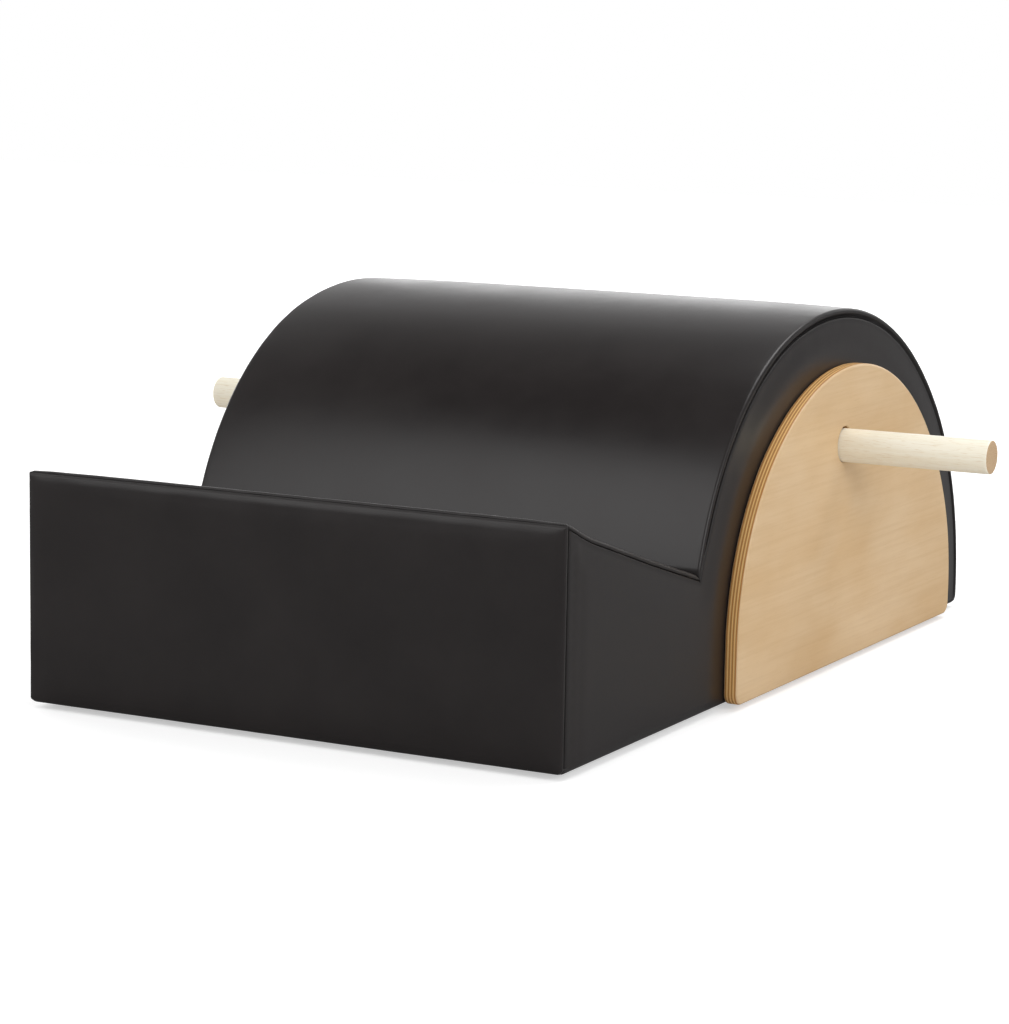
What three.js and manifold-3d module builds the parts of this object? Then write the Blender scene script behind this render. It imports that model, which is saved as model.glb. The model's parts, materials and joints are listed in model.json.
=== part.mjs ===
// Spine corrector: a padded barrel and seat on a plywood carcass, with a birch panel on each side
// and a round pole through both panels. Millimetres, +Z up. The front panel faces -Y, and the origin
// is on the floor under the middle of the object.

import * as THREE from "three";
import { mergeVertices } from "three/addons/utils/BufferGeometryUtils.js";
import Module from "manifold-3d";

const wasm = await Module();
wasm.setup();

// Driving dimensions
const bodyWidth = 460;
const bodyLength = 808;
const barrelHeight = 294.5;
const barrelFrontRadius = 248;
const barrelTopRadius = 336;
const barrelBackRadius = 255;
const barrelFrontTurnShare = 0.407;
const barrelBackTurnShare = 0.755;
const lipHeight = 177;
const lipRise = 4;
const lipRun = 45;
const valleyHeight = 111;

// Clearance left between two pieces that touch
const gap = 0.3;

// Cover
const vinyl = 1.2;
const crown = 1.5;
const crownMidShare = 0.75;
const frontCrown = 1;
const edgeRoll = 5;
const edgeLap = 2;
const seamDepth = 1.8;
const seamRoll = 3;
const valleyDip = 4;
const valleyReach = 14;
const hemWidth = 25;
const hemCornerCut = 30;

// Padding
const padFoam = 25;
const frontFoam = 15;
const sideFoam = 6;
const sideFoamLift = 4;

// Carcass
const deckThickness = 12;
const skinThickness = 8;
const frontBoardThickness = 12;
const plateThickness = 15;
const ribCentre = 75;
const railWidth = 45;
const railHeight = 20;
const middleRailSetback = 4;
const rearRailSetback = 12;
const skinJoint = 1.5;

// Birch side panels, whose arch tops lie under the barrel's and behind it
const panelThickness = 12;
const panelDrop = 46.5;
const panelSetback = 14;
const panelTopRadius = 251;
const panelShoulderRadius = 188;
const panelFrontTurnShare = 0.287;
const panelBackTurnShare = 0.854;
const panelEdgeRound = 2;
const panelCornerRadius = 10;

// Pole, which lies ahead of the panels' arch tops and below them, and its clearance in each hole
const poleRadius = 14;
const poleLength = 741;
const poleChamfer = 1.5;
const poleAhead = 19.3;
const poleBelow = 65;
const panelHoleClearance = 1;
const coverHoleClearance = 2;
const foamHoleClearance = 3;
const plateHoleClearance = 2;
const ribHoleClearance = 2.5;

// Feet and dust cloth
const footHeight = 3;
const footRadius = 15;
const footTaper = 0.8;
const footInset = 70;
const footRecess = 1.7;
const clothThickness = 0.6;
const clothInset = 14;

// Fasteners: head radius and height, shank radius, and length of the point. The panel screws stop
// short of the panels' outer faces, and the rail screws bite into the rails' ends.
const panelScrew = { headRadius: 5, headHeight: 3, shankRadius: 2.5, point: 3 };
const railScrew = { headRadius: 4.5, headHeight: 4, shankRadius: 2.5, point: 4 };
const footScrew = { headRadius: 4.2, headHeight: 1.2, shankRadius: 2, length: 16, point: 3 };
const panelScrewCover = 3;
const panelScrewSpread = { low: 175, high: 112 };
const lowPanelScrewHeight = 60;
const highPanelScrewDrop = 62;
const railScrewBite = 29.7;

// Smallest distance between two different points of one mesh, and how far a cut runs past a face
const weld = 0.001;
const overrun = 2;

// Numbers of steps round curved shapes
const barrelSteps = 32;
const holeSteps = 12;
const poleSteps = 32;
const footSteps = 18;
const screwSteps = 10;
const panelArchSteps = 44;
const panelCornerSteps = 4;

// Levels and faces worked out from the dimensions
const halfWidth = bodyWidth / 2;
const clothBottom = footHeight + gap;
const bodyBottom = clothBottom + clothThickness + gap;
const plyBottom = vinyl + gap;
const padDepth = vinyl + gap + padFoam;
const carcassDepth = padDepth + gap;
const underDeck = carcassDepth + deckThickness + gap;
const insideSkin = carcassDepth + skinThickness;
const underSkin = insideSkin + gap;
const frontBoardFront = vinyl + gap + frontFoam + gap;
const ribFront = frontBoardFront + frontBoardThickness + gap;
const foamHalfWidth = halfWidth - seamDepth - vinyl - gap;
const sideFoamOuter = halfWidth - vinyl - gap;
const plateOuter = sideFoamOuter - sideFoam - gap;
const plateInner = plateOuter - plateThickness;
const panelInner = halfWidth + gap;
const panelOuter = panelInner + panelThickness;
const panelHeight = barrelHeight - panelDrop;
const footX = halfWidth - footInset;

// Lengths of the screws under their heads, and heights of the panel screws
panelScrew.length = panelOuter - panelScrewCover - plateInner + gap;
railScrew.length = plateThickness - railScrew.headHeight + gap + railScrewBite;
const panelScrewHeight = { low: lowPanelScrewHeight, high: panelHeight - highPanelScrewDrop };

// An arch of three arcs, each running smoothly into the next: a front shoulder, a top and a back
// shoulder. Its angles say which way the outline faces: 0 is forwards and a quarter turn is up.
function archOf({ y, height, frontRadius, topRadius, backRadius, frontTurn, backTurn }) {
  const top = { y, z: height - topRadius, radius: topRadius };
  const shoulder = (radius, turn) => ({
    y: top.y - (topRadius - radius) * Math.cos(turn),
    z: top.z + (topRadius - radius) * Math.sin(turn),
    radius,
  });
  const front = shoulder(frontRadius, frontTurn);
  const back = shoulder(backRadius, backTurn);
  return { frontTurn, backTurn, front, top, back };
}

// Point of an arch at a depth under its outline
function archPoint(arch, angle, depth) {
  const behind = angle > arch.backTurn ? arch.back : arch.top;
  const arc = angle < arch.frontTurn ? arch.front : behind;
  return {
    y: arc.y - (arc.radius - depth) * Math.cos(angle),
    z: arc.z + (arc.radius - depth) * Math.sin(angle),
  };
}

// The barrel's back shoulder reaches the body's full length, less the crown of the cover there.
const barrelBackTurn = barrelBackTurnShare * Math.PI;
const backShoulderReach = barrelBackRadius + (barrelBackRadius - barrelTopRadius) * Math.cos(barrelBackTurn);
const barrel = archOf({
  y: bodyLength - crown - backShoulderReach,
  height: barrelHeight,
  frontRadius: barrelFrontRadius,
  topRadius: barrelTopRadius,
  backRadius: barrelBackRadius,
  frontTurn: barrelFrontTurnShare * Math.PI,
  backTurn: barrelBackTurn,
});
const panelArch = archOf({
  y: barrel.top.y + panelSetback,
  height: panelHeight,
  frontRadius: panelShoulderRadius,
  topRadius: panelTopRadius,
  backRadius: panelShoulderRadius,
  frontTurn: panelFrontTurnShare * Math.PI,
  backTurn: panelBackTurnShare * Math.PI,
});

// The pole rests on the lower edge of the panels' holes, and the other holes lie round its axis.
const poleAxis = { y: panelArch.top.y - poleAhead, z: panelHeight - poleBelow };
const seatedHole = { y: poleAxis.y, z: poleAxis.z + panelHoleClearance - gap };

// The seat slopes in a straight line from the front face to the valley, where it meets the barrel.
const valleyLevel = valleyHeight - barrel.front.z;
const valley = {
  y: barrel.front.y - Math.sqrt(barrel.front.radius ** 2 - valleyLevel ** 2),
  z: valleyHeight,
};
const seatFallShare = (lipHeight - valley.z) / valley.y;
const seatAngle = Math.atan(seatFallShare);
const valleyAngle = Math.atan2(valleyLevel, barrel.front.y - valley.y);

const materials = {
  vinyl: new THREE.MeshStandardMaterial({ color: 0x2f2d2e, roughness: 0.42, metalness: 0 }),
  birch: new THREE.MeshStandardMaterial({ color: 0xcdad82, roughness: 0.45, metalness: 0 }),
  pole: new THREE.MeshStandardMaterial({ color: 0xefe6d0, roughness: 0.5, metalness: 0 }),
  plywood: new THREE.MeshStandardMaterial({ color: 0xc9a877, roughness: 0.7, metalness: 0 }),
  foam: new THREE.MeshStandardMaterial({ color: 0xe6dcc0, roughness: 0.95, metalness: 0 }),
  cloth: new THREE.MeshStandardMaterial({ color: 0x1c1c1c, roughness: 0.95, metalness: 0 }),
  rubber: new THREE.MeshStandardMaterial({ color: 0x1a1a1a, roughness: 0.8, metalness: 0 }),
  steel: new THREE.MeshStandardMaterial({ color: 0xa8a8a4, roughness: 0.35, metalness: 1 }),
};

// Height of a plane that lies a given depth under the seat's straight slope
function slopeHeight(y, depth) {
  return lipHeight - seatFallShare * y - depth / Math.cos(seatAngle);
}

// Where that plane meets the barrel at a depth of its own
function valleyAt(seatDepth, barrelDepth) {
  const rise = slopeHeight(0, seatDepth) - barrel.front.z;
  const a = 1 + seatFallShare ** 2;
  const b = -barrel.front.y - seatFallShare * rise;
  const c = barrel.front.y ** 2 + rise ** 2 - (barrel.front.radius - barrelDepth) ** 2;
  const y = (-b - Math.sqrt(b ** 2 - a * c)) / a;
  return { y, z: slopeHeight(y, seatDepth) };
}

// Angle at which the barrel reaches a height over the body's bottom, behind
function endAngle(depth, bottom) {
  return Math.PI + Math.asin((barrel.back.z - bottom) / (barrel.back.radius - depth));
}

// Angles round the barrel from near the valley to near its back end, shared by all its layers
function barrelAngles() {
  const start = valleyAngle + valleyReach / barrel.front.radius;
  const nearSeam = valleyAngle + valleyReach / 3 / barrel.front.radius;
  const step = (endAngle(0, 0) - start) / barrelSteps;
  return [nearSeam, ...Array.from({ length: barrelSteps }, (_, i) => start + step * i)];
}

function barrelEnd(depth, bottom) {
  return archPoint(barrel, endAngle(depth, bottom), depth);
}

// Side outline of the body at given depths under its front, its seat and its barrel
function sideOutline({ front, seat, barrel: depth, bottom }) {
  return [
    { y: front, z: bottom },
    { y: front, z: slopeHeight(front, seat) },
    valleyAt(seat, depth),
    ...barrelAngles().map((angle) => archPoint(barrel, angle, depth)),
    barrelEnd(depth, bottom),
  ];
}

// Signed volume of a closed geometry, positive where its faces point out
function signedVolume(geometry) {
  const bare = geometry.index ? geometry.toNonIndexed() : geometry;
  const place = bare.attributes.position;
  const corner = [new THREE.Vector3(), new THREE.Vector3(), new THREE.Vector3()];
  let sum = 0;
  for (let i = 0; i < place.count; i += 3) {
    corner.forEach((c, k) => c.fromBufferAttribute(place, i + k));
    sum += corner[0].dot(corner[1].cross(corner[2]));
  }
  return sum / 6;
}

// Turns every face round where a geometry is inside out
function facingOut(geometry) {
  if (signedVolume(geometry) > 0) return geometry;
  const index = geometry.index.array;
  for (let i = 0; i < index.length; i += 3) {
    [index[i + 1], index[i + 2]] = [index[i + 2], index[i + 1]];
  }
  geometry.computeVertexNormals();
  return geometry;
}

// Triangles that close one end of a loft, turned the way that the end needs
function endFaces(ring, flatten, first, startIndex) {
  const contour = ring.map(flatten);
  const faces = THREE.ShapeUtils.triangulateShape(contour, []);
  const areaOf = (face) => THREE.ShapeUtils.area(face.map((i) => contour[i]));
  const facesArea = faces.reduce((sum, face) => sum + areaOf(face), 0);
  const along = Math.sign(facesArea) === Math.sign(THREE.ShapeUtils.area(contour));
  return faces.map(([a, b, c]) => {
    const corners = along === first ? [a, c, b] : [a, b, c];
    return corners.map((i) => i + startIndex);
  });
}

// One closed body through rings that have equally many points, with a flat face on each end
function loft(rings, flattenFirst, flattenLast) {
  const count = rings[0].length;
  const corners = rings.flat();
  const faces = [];
  rings.slice(1).forEach((_, r) => {
    for (let i = 0; i < count; i += 1) {
      const a = r * count + i;
      const b = r * count + ((i + 1) % count);
      const [c, d] = [a + count, b + count];
      // The shorter diagonal, so that a sheet's two faces and the foam under it bend alike
      const [down, up] = [corners[a].distanceTo(corners[d]), corners[b].distanceTo(corners[c])];
      faces.push(...(down < up ? [[a, b, d], [a, d, c]] : [[a, b, c], [b, d, c]]));
    }
  });
  faces.push(...endFaces(rings[0], flattenFirst, true, 0));
  faces.push(...endFaces(rings.at(-1), flattenLast, false, (rings.length - 1) * count));
  const geometry = new THREE.BufferGeometry().setFromPoints(corners);
  geometry.setIndex(faces.flat());
  geometry.computeVertexNormals();
  return facingOut(geometry);
}

const alongXY = (p) => new THREE.Vector2(p.x, p.y);
const alongXZ = (p) => new THREE.Vector2(p.x, p.z);
const alongYZ = (p) => new THREE.Vector2(p.y, p.z);

// Carries a closed section along stations. Each station has a point of the outer profile and the
// direction in which depth is measured there.
function sweep(stations, section, flattenFirst, flattenLast) {
  const rings = stations.map((station) =>
    section(station).map(
      ({ x, depth }) =>
        new THREE.Vector3(x, station.y - station.out.y * depth, station.z - station.out.z * depth),
    ),
  );
  return loft(rings, flattenFirst, flattenLast);
}

// A flat piece cut to a side outline, its inner face at x = 0 and its thickness along +X
function sideCut(outline, thickness, bevel = 0) {
  const shape = new THREE.Shape(outline.map(alongYZ));
  const geometry = new THREE.ExtrudeGeometry(shape, {
    depth: thickness - 2 * bevel,
    bevelEnabled: bevel > 0,
    bevelThickness: bevel,
    bevelSize: bevel,
    bevelOffset: -bevel,
    bevelSegments: 2,
  });
  geometry.translate(0, 0, bevel);
  const lengthwise = new THREE.Vector3(0, 1, 0);
  const upward = new THREE.Vector3(0, 0, 1);
  const sideways = new THREE.Vector3(1, 0, 0);
  return geometry.applyMatrix4(new THREE.Matrix4().makeBasis(lengthwise, upward, sideways));
}

function block(low, high) {
  const size = new THREE.Vector3().subVectors(high, low);
  const middle = new THREE.Vector3().addVectors(low, high).multiplyScalar(0.5);
  return new THREE.BoxGeometry(size.x, size.y, size.z).translate(middle.x, middle.y, middle.z);
}

function solidOf(geometry) {
  const bare = geometry.index ? geometry.toNonIndexed() : geometry.clone();
  bare.deleteAttribute("normal");
  bare.deleteAttribute("uv");
  const merged = mergeVertices(bare, weld);
  return new wasm.Manifold(
    new wasm.Mesh({
      numProp: 3,
      vertProperties: new Float32Array(merged.attributes.position.array),
      triVerts: new Uint32Array(merged.index.array),
    }),
  );
}

function geometryOf(solid) {
  const { numProp, numVert, vertProperties, triVerts } = solid.getMesh();
  const place = new Float32Array(numVert * 3);
  for (let i = 0; i < numVert; i += 1) {
    place.set(vertProperties.subarray(i * numProp, i * numProp + 3), i * 3);
  }
  const geometry = new THREE.BufferGeometry();
  geometry.setAttribute("position", new THREE.BufferAttribute(place, 3));
  geometry.setIndex([...triVerts]);
  geometry.computeVertexNormals();
  return geometry;
}

function piece(name, geometry, material, x = 0, y = 0, z = 0) {
  const mesh = new THREE.Mesh(geometry, material);
  mesh.name = name;
  mesh.position.set(x, y, z);
  return mesh;
}

// Cuts tools, given in the piece's group, out of the piece.
function cut(mesh, tools) {
  mesh.updateMatrix();
  const placed = solidOf(mesh.geometry.clone().applyMatrix4(mesh.matrix));
  const left = tools.reduce((solid, tool) => solid.subtract(tool), placed);
  mesh.geometry = geometryOf(left).applyMatrix4(mesh.matrix.clone().invert());
  return mesh;
}

function joined(geometry, addition) {
  return geometryOf(solidOf(geometry).add(solidOf(addition)));
}

// The pole's hole through a layer that starts at a given x
function poleBore(clearance, left, thickness, centre = poleAxis) {
  const radius = poleRadius + clearance;
  const cylinder = new THREE.CylinderGeometry(radius, radius, thickness + 2 * overrun, 2 * holeSteps);
  cylinder.rotateZ(Math.PI / 2);
  cylinder.translate(left + thickness / 2, centre.y, centre.z);
  return solidOf(cylinder);
}

function turned(profile, steps) {
  const points = profile.map(([radius, along]) => new THREE.Vector2(radius, along));
  return facingOut(new THREE.LatheGeometry(points, steps));
}

function screwShape({ headRadius, headHeight, shankRadius, length, point }, grow, lead) {
  const end = headHeight + length + grow;
  return turned(
    [
      [0, -lead],
      [headRadius + grow, -lead],
      [headRadius + grow, headHeight + grow],
      [shankRadius + grow, headHeight + grow],
      [shankRadius + grow, end - point],
      [0, end],
    ],
    screwSteps,
  );
}

const aims = {
  right: new THREE.Euler(0, 0, -Math.PI / 2),
  left: new THREE.Euler(0, 0, Math.PI / 2),
  up: new THREE.Euler(Math.PI / 2, 0, 0),
};

// A screw whose head's outer face is at the given place, and the bore that clears it
function screw(name, size, aim, x, y, z) {
  const mesh = piece(name, screwShape(size, 0, 0), materials.steel, x, y, z);
  mesh.rotation.copy(aims[aim]);
  mesh.updateMatrix();
  const bore = solidOf(screwShape(size, gap, overrun).applyMatrix4(mesh.matrix));
  return { mesh, bore };
}

// Half of the body's cross-section at a depth under its cover, from the middle to the side seam
function crossCurve(depth, rise) {
  const flat = halfWidth - edgeRoll;
  const roll = edgeRoll - depth;
  return [
    { x: 0, depth: depth - rise },
    { x: flat / 2, depth: depth - rise * crownMidShare },
    { x: flat, depth },
    ...[Math.PI / 4, Math.PI / 2].map((turn) => ({
      x: flat + roll * Math.sin(turn),
      depth: edgeRoll - roll * Math.cos(turn),
    })),
    { x: halfWidth - seamDepth - depth, depth: edgeRoll + edgeLap },
  ];
}

function fullCurve(depth, rise) {
  const half = crossCurve(depth, rise);
  return [...half.slice(1).map((p) => ({ ...p, x: -p.x })).reverse(), ...half];
}

const coverSection = ({ rise }) => [...fullCurve(0, rise), ...fullCurve(vinyl, rise).reverse()];

// The foam's underside lies flat on the carcass, whatever its top does.
const foamSection = ({ rise, lift }) => [
  ...fullCurve(vinyl + gap, rise),
  { x: foamHalfWidth, depth: padDepth + lift },
  { x: -foamHalfWidth, depth: padDepth + lift },
];

// The cover dips towards the valley seam.
function riseNear(distance) {
  const near = Math.max(0, 1 - distance / valleyReach);
  return crown - (crown + valleyDip) * near ** 2;
}

// Direction in which depth is measured at the valley, where both slopes meet
function valleyOut() {
  const spread = Math.cos(seatAngle - valleyAngle);
  return {
    y: (Math.sin(valleyAngle) - Math.cos(seatAngle)) / spread,
    z: (Math.sin(seatAngle) + Math.cos(valleyAngle)) / spread,
  };
}

// The seat's stations, from the seam behind the front panel to the valley
function seatStations() {
  const start = frontCrown + seamDepth + vinyl + gap;
  const afterRoll = start + seamRoll;
  const between = (from, to, steps) =>
    Array.from({ length: steps }, (_, i) => ({ y: from + ((to - from) * (i + 1)) / steps, drop: 0 }));
  const places = [
    { y: start, drop: seamDepth },
    { y: start + seamRoll / 4, drop: seamDepth / 3 },
    { y: afterRoll, drop: 0 },
    ...between(afterRoll, lipRun, 4),
    ...between(lipRun, valley.y - valleyReach, 3),
    { y: valley.y - valleyReach / 3, drop: 0 },
  ];
  const onSlope = places.map(({ y, drop }) => {
    const bump = lipRise * Math.max(0, 1 - y / lipRun) ** 2 - drop;
    const turn = Math.min(1, (y - start) / lipRun);
    return {
      y,
      z: slopeHeight(y, 0) + bump,
      out: {
        y: Math.sin(seatAngle) * turn,
        z: (1 - Math.sin(seatAngle) ** 2 * turn) / Math.cos(seatAngle),
      },
      lift: bump * Math.cos(seatAngle),
      rise: y - start < seamRoll ? 0 : riseNear(valley.y - y),
    };
  });
  const endY = valley.y - gap;
  const end = { y: endY, z: slopeHeight(endY, 0), out: valleyOut(), lift: 0, rise: riseNear(0) };
  return [...onSlope, end];
}

// The barrel's stations, from the valley over the top to a height over the body's bottom, where the
// layers are cut level
function barrelStations(bottom) {
  const first = valleyAngle + gap / barrel.front.radius;
  const last = endAngle(0, bottom);
  const start = { ...archPoint(barrel, first, 0), out: valleyOut(), lift: 0, rise: riseNear(0) };
  const rest = [...barrelAngles(), last].map((angle) => ({
    ...archPoint(barrel, angle, 0),
    out: { y: -Math.cos(angle), z: Math.sin(angle) },
    lift: 0,
    rise: riseNear((angle - valleyAngle) * barrel.front.radius),
  }));
  rest.at(-1).out = { y: -1 / Math.cos(last), z: 0 };
  return [start, ...rest];
}

// Rings of a side cover from its flat outer face, out to its seams and back on its inner face
function sideCoverRings(side) {
  const seat = seatStations();
  const [atSeam, onRoll, behindRoll] = seat;
  const steps = [
    { pull: 0, corner: behindRoll },
    { pull: seamDepth / 4, corner: onRoll },
    { pull: seamDepth, corner: atSeam },
  ];
  const ringAt = ({ pull, corner }, thickness) => {
    const reach = corner.y - atSeam.y;
    const depth = edgeRoll + edgeLap + gap + reach;
    const seatEdge = [corner, ...seat.slice(steps.length)].map((station) => ({
      y: station.y - station.out.y * depth,
      z: station.z - station.out.z * depth,
    }));
    const barrelEdge = barrelAngles().map((angle) => archPoint(barrel, angle, depth));
    const x = side * (halfWidth - pull - thickness);
    const edge = [{ y: corner.y, z: reach }, ...seatEdge, ...barrelEdge, barrelEnd(depth, reach)];
    return edge.map((p) => new THREE.Vector3(x, p.y, p.z));
  };
  const outer = steps.map((step) => ringAt(step, 0));
  const inner = steps.map((step) => ringAt(step, vinyl));
  return [...outer, ...inner.reverse()];
}

// Rings of the front cover, or of the foam under it, from the middle of its face to its edges
function frontRings(depth) {
  const top = slopeHeight(0, 0) + lipRise;
  const steps = [
    { inset: lipHeight / 3, bottomInset: lipHeight / 3, y: 0 },
    { inset: lipHeight / 6, bottomInset: lipHeight / 6, y: frontCrown / 3 },
    { inset: seamDepth + seamRoll, bottomInset: seamRoll, y: frontCrown },
    { inset: seamDepth + seamRoll / 4, bottomInset: seamRoll / 4, y: frontCrown + seamDepth / 4 },
    { inset: seamDepth, bottomInset: 0, y: frontCrown + seamDepth },
  ];
  return steps.map(({ inset, bottomInset, y }) => {
    const x = halfWidth - inset;
    return [
      [-x, bottomInset],
      [x, bottomInset],
      [x, top - inset - gap],
      [-x, top - inset - gap],
    ].map(([across, z]) => new THREE.Vector3(across, y + depth, z));
  });
}

function makeCarcass() {
  const group = new THREE.Group();
  const outline = sideOutline({ front: ribFront, seat: underDeck, barrel: underSkin, bottom: plyBottom });
  const railY = {
    front: ribFront,
    middle: valley.y + middleRailSetback,
    rear: barrelEnd(underSkin, railHeight).y - rearRailSetback - railWidth,
  };
  const railTop = plyBottom + railHeight;
  const railEnd = plateInner - gap;

  const railScrews = Object.entries(railY).flatMap(([place, y]) =>
    [-1, 1].map((side) => {
      const name = `rail_screw_${side < 0 ? "left" : "right"}_${place}`;
      const aim = side < 0 ? "right" : "left";
      return screw(name, railScrew, aim, side * plateOuter, y + railWidth / 2, plyBottom + railHeight / 2);
    }),
  );
  const footScrews = Object.entries(railY).flatMap(([place, y]) =>
    [-1, 1].map((side) => {
      const name = `foot_screw_${side < 0 ? "left" : "right"}_${place}`;
      const head = footRecess - gap - footScrew.headHeight - bodyBottom;
      return screw(name, footScrew, "up", side * footX, y + railWidth / 2, head);
    }),
  );
  const panelScrews = [-1, 1].flatMap((side) =>
    ["low", "high"].flatMap((level) =>
      ["front", "back"].map((end) => {
        const name = `panel_screw_${side < 0 ? "left" : "right"}_${end}_${level}`;
        const aim = side < 0 ? "left" : "right";
        const offset = (end === "front" ? -1 : 1) * panelScrewSpread[level];
        const x = side * (plateInner - gap - panelScrew.headHeight);
        return screw(name, panelScrew, aim, x, panelArch.top.y + offset, panelScrewHeight[level]);
      }),
    ),
  );

  const sideBores = (list) => list.map((one) => one.bore);
  for (const [name, left] of [["side_plate_left", -plateOuter], ["side_plate_right", plateInner]]) {
    const plate = piece(name, sideCut(outline, plateThickness), materials.plywood, left);
    const hole = poleBore(plateHoleClearance, left, plateThickness);
    group.add(cut(plate, [hole, ...sideBores(railScrews), ...sideBores(panelScrews)]));
  }
  const notches = Object.values(railY).map((y) =>
    solidOf(
      block(
        new THREE.Vector3(-halfWidth, y - gap, plyBottom - overrun),
        new THREE.Vector3(halfWidth, y + railWidth + gap, railTop + gap),
      ),
    ),
  );
  for (const [name, centre] of [["inner_rib_left", -ribCentre], ["inner_rib_right", ribCentre]]) {
    const left = centre - plateThickness / 2;
    const rib = piece(name, sideCut(outline, plateThickness), materials.plywood, left);
    const hole = poleBore(ribHoleClearance, left, plateThickness);
    group.add(cut(rib, [hole, ...notches]));
  }
  for (const [place, y] of Object.entries(railY)) {
    const rail = block(
      new THREE.Vector3(-railEnd, y, plyBottom),
      new THREE.Vector3(railEnd, y + railWidth, railTop),
    );
    const bores = sideBores([...railScrews, ...footScrews]);
    group.add(cut(piece(`${place}_rail`, rail, materials.plywood), bores));
  }

  const boardBack = frontBoardFront + frontBoardThickness;
  const frontBoard = [
    { y: frontBoardFront, z: plyBottom },
    { y: boardBack, z: plyBottom },
    { y: boardBack, z: slopeHeight(boardBack, underDeck) },
    { y: frontBoardFront, z: slopeHeight(frontBoardFront, underDeck) },
  ];
  const joint = valleyAt(carcassDepth, carcassDepth);
  const deckEnd = joint.y - gap;
  const seatDeck = [
    { y: frontBoardFront, z: slopeHeight(frontBoardFront, carcassDepth + deckThickness) },
    { y: deckEnd, z: slopeHeight(deckEnd, carcassDepth + deckThickness) },
    { y: deckEnd, z: slopeHeight(deckEnd, carcassDepth) },
    { y: frontBoardFront, z: slopeHeight(frontBoardFront, carcassDepth) },
  ];
  const jointAngle = Math.atan2(joint.z - barrel.front.z, barrel.front.y - joint.y);
  const skinStart = jointAngle + skinJoint / (barrel.front.radius - carcassDepth);
  const skinAngles = [skinStart, ...barrelAngles().filter((angle) => angle > skinStart + weld)];
  const barrelSkin = [
    ...skinAngles.map((angle) => archPoint(barrel, angle, carcassDepth)),
    barrelEnd(carcassDepth, plyBottom),
    barrelEnd(insideSkin, plyBottom),
    ...skinAngles.map((angle) => archPoint(barrel, angle, insideSkin)).reverse(),
  ];
  for (const [name, shape] of Object.entries({
    front_board: frontBoard,
    seat_deck: seatDeck,
    barrel_skin: barrelSkin,
  })) {
    group.add(piece(name, sideCut(shape, 2 * plateOuter), materials.plywood, -plateOuter));
  }
  group.add(...[...railScrews, ...footScrews, ...panelScrews].map((one) => one.mesh));
  return { group, railY, footScrews, panelScrews };
}

function makePadding(panelScrews) {
  const group = new THREE.Group();
  const frontBack = vinyl + gap + frontFoam;
  const face = frontRings(vinyl + gap).slice(0, 3);
  const foamTop = (p, y) => new THREE.Vector3(
    THREE.MathUtils.clamp(p.x, -foamHalfWidth, foamHalfWidth),
    y,
    p.z < lipHeight / 2 ? Math.max(p.z, plyBottom) : Math.min(p.z, slopeHeight(y, carcassDepth)),
  );
  const frontShape = face.map((ring) => ring.map((p) => foamTop(p, p.y)));
  frontShape.push(face.at(-1).map((p) => foamTop(p, frontBack)));
  const seatShape = sweep(seatStations(), foamSection, alongXZ, alongXZ);
  const barrelShape = sweep(barrelStations(plyBottom), foamSection, alongXZ, alongXY);
  group.add(piece("front_foam", loft(frontShape, alongXZ, alongXZ), materials.foam));
  group.add(piece("seat_foam", seatShape, materials.foam));
  group.add(piece("barrel_foam", barrelShape, materials.foam));

  const outline = sideOutline({
    front: frontBoardFront,
    seat: carcassDepth,
    barrel: carcassDepth,
    bottom: sideFoamLift,
  });
  const places = { side_foam_left: -sideFoamOuter, side_foam_right: sideFoamOuter - sideFoam };
  for (const [name, left] of Object.entries(places)) {
    const pad = piece(name, sideCut(outline, sideFoam), materials.foam, left);
    const hole = poleBore(foamHoleClearance, left, sideFoam);
    group.add(cut(pad, [hole, ...panelScrews.map((one) => one.bore)]));
  }
  return group;
}

function makeCovers(panelScrews) {
  const group = new THREE.Group();
  const hemEnd = halfWidth - hemCornerCut;
  const frontFace = frontRings(0);
  const frontInside = frontRings(vinyl).reverse();
  const frontHem = block(
    new THREE.Vector3(-hemEnd, frontCrown + seamDepth, 0),
    new THREE.Vector3(hemEnd, frontCrown + seamDepth + hemWidth, vinyl),
  );
  const front = joined(loft([...frontFace, ...frontInside], alongXZ, alongXZ), frontHem);
  group.add(piece("front_cover", front, materials.vinyl));
  group.add(piece("seat_cover", sweep(seatStations(), coverSection, alongXZ, alongXZ), materials.vinyl));

  const barrelBack = barrelEnd(0, 0).y - vinyl / 2;
  const barrelHem = block(
    new THREE.Vector3(-hemEnd, barrelBack - hemWidth, 0),
    new THREE.Vector3(hemEnd, barrelBack, vinyl),
  );
  const overBarrel = joined(sweep(barrelStations(0), coverSection, alongXZ, alongXY), barrelHem);
  group.add(piece("barrel_cover", overBarrel, materials.vinyl));

  for (const [name, side] of [["side_cover_left", -1], ["side_cover_right", 1]]) {
    const sheet = loft(sideCoverRings(side), alongYZ, alongYZ);
    const near = side * (halfWidth - seamDepth - vinyl - hemWidth);
    const far = side * (halfWidth - seamDepth - vinyl / 2);
    const hem = block(
      new THREE.Vector3(Math.min(near, far), hemCornerCut, 0),
      new THREE.Vector3(Math.max(near, far), barrelBack - hemCornerCut, vinyl),
    );
    const left = side < 0 ? -halfWidth : halfWidth - vinyl;
    const hole = poleBore(coverHoleClearance, left, vinyl);
    const cover = piece(name, joined(sheet, hem), materials.vinyl);
    group.add(cut(cover, [hole, ...panelScrews.map((one) => one.bore)]));
  }
  return group;
}

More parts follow.
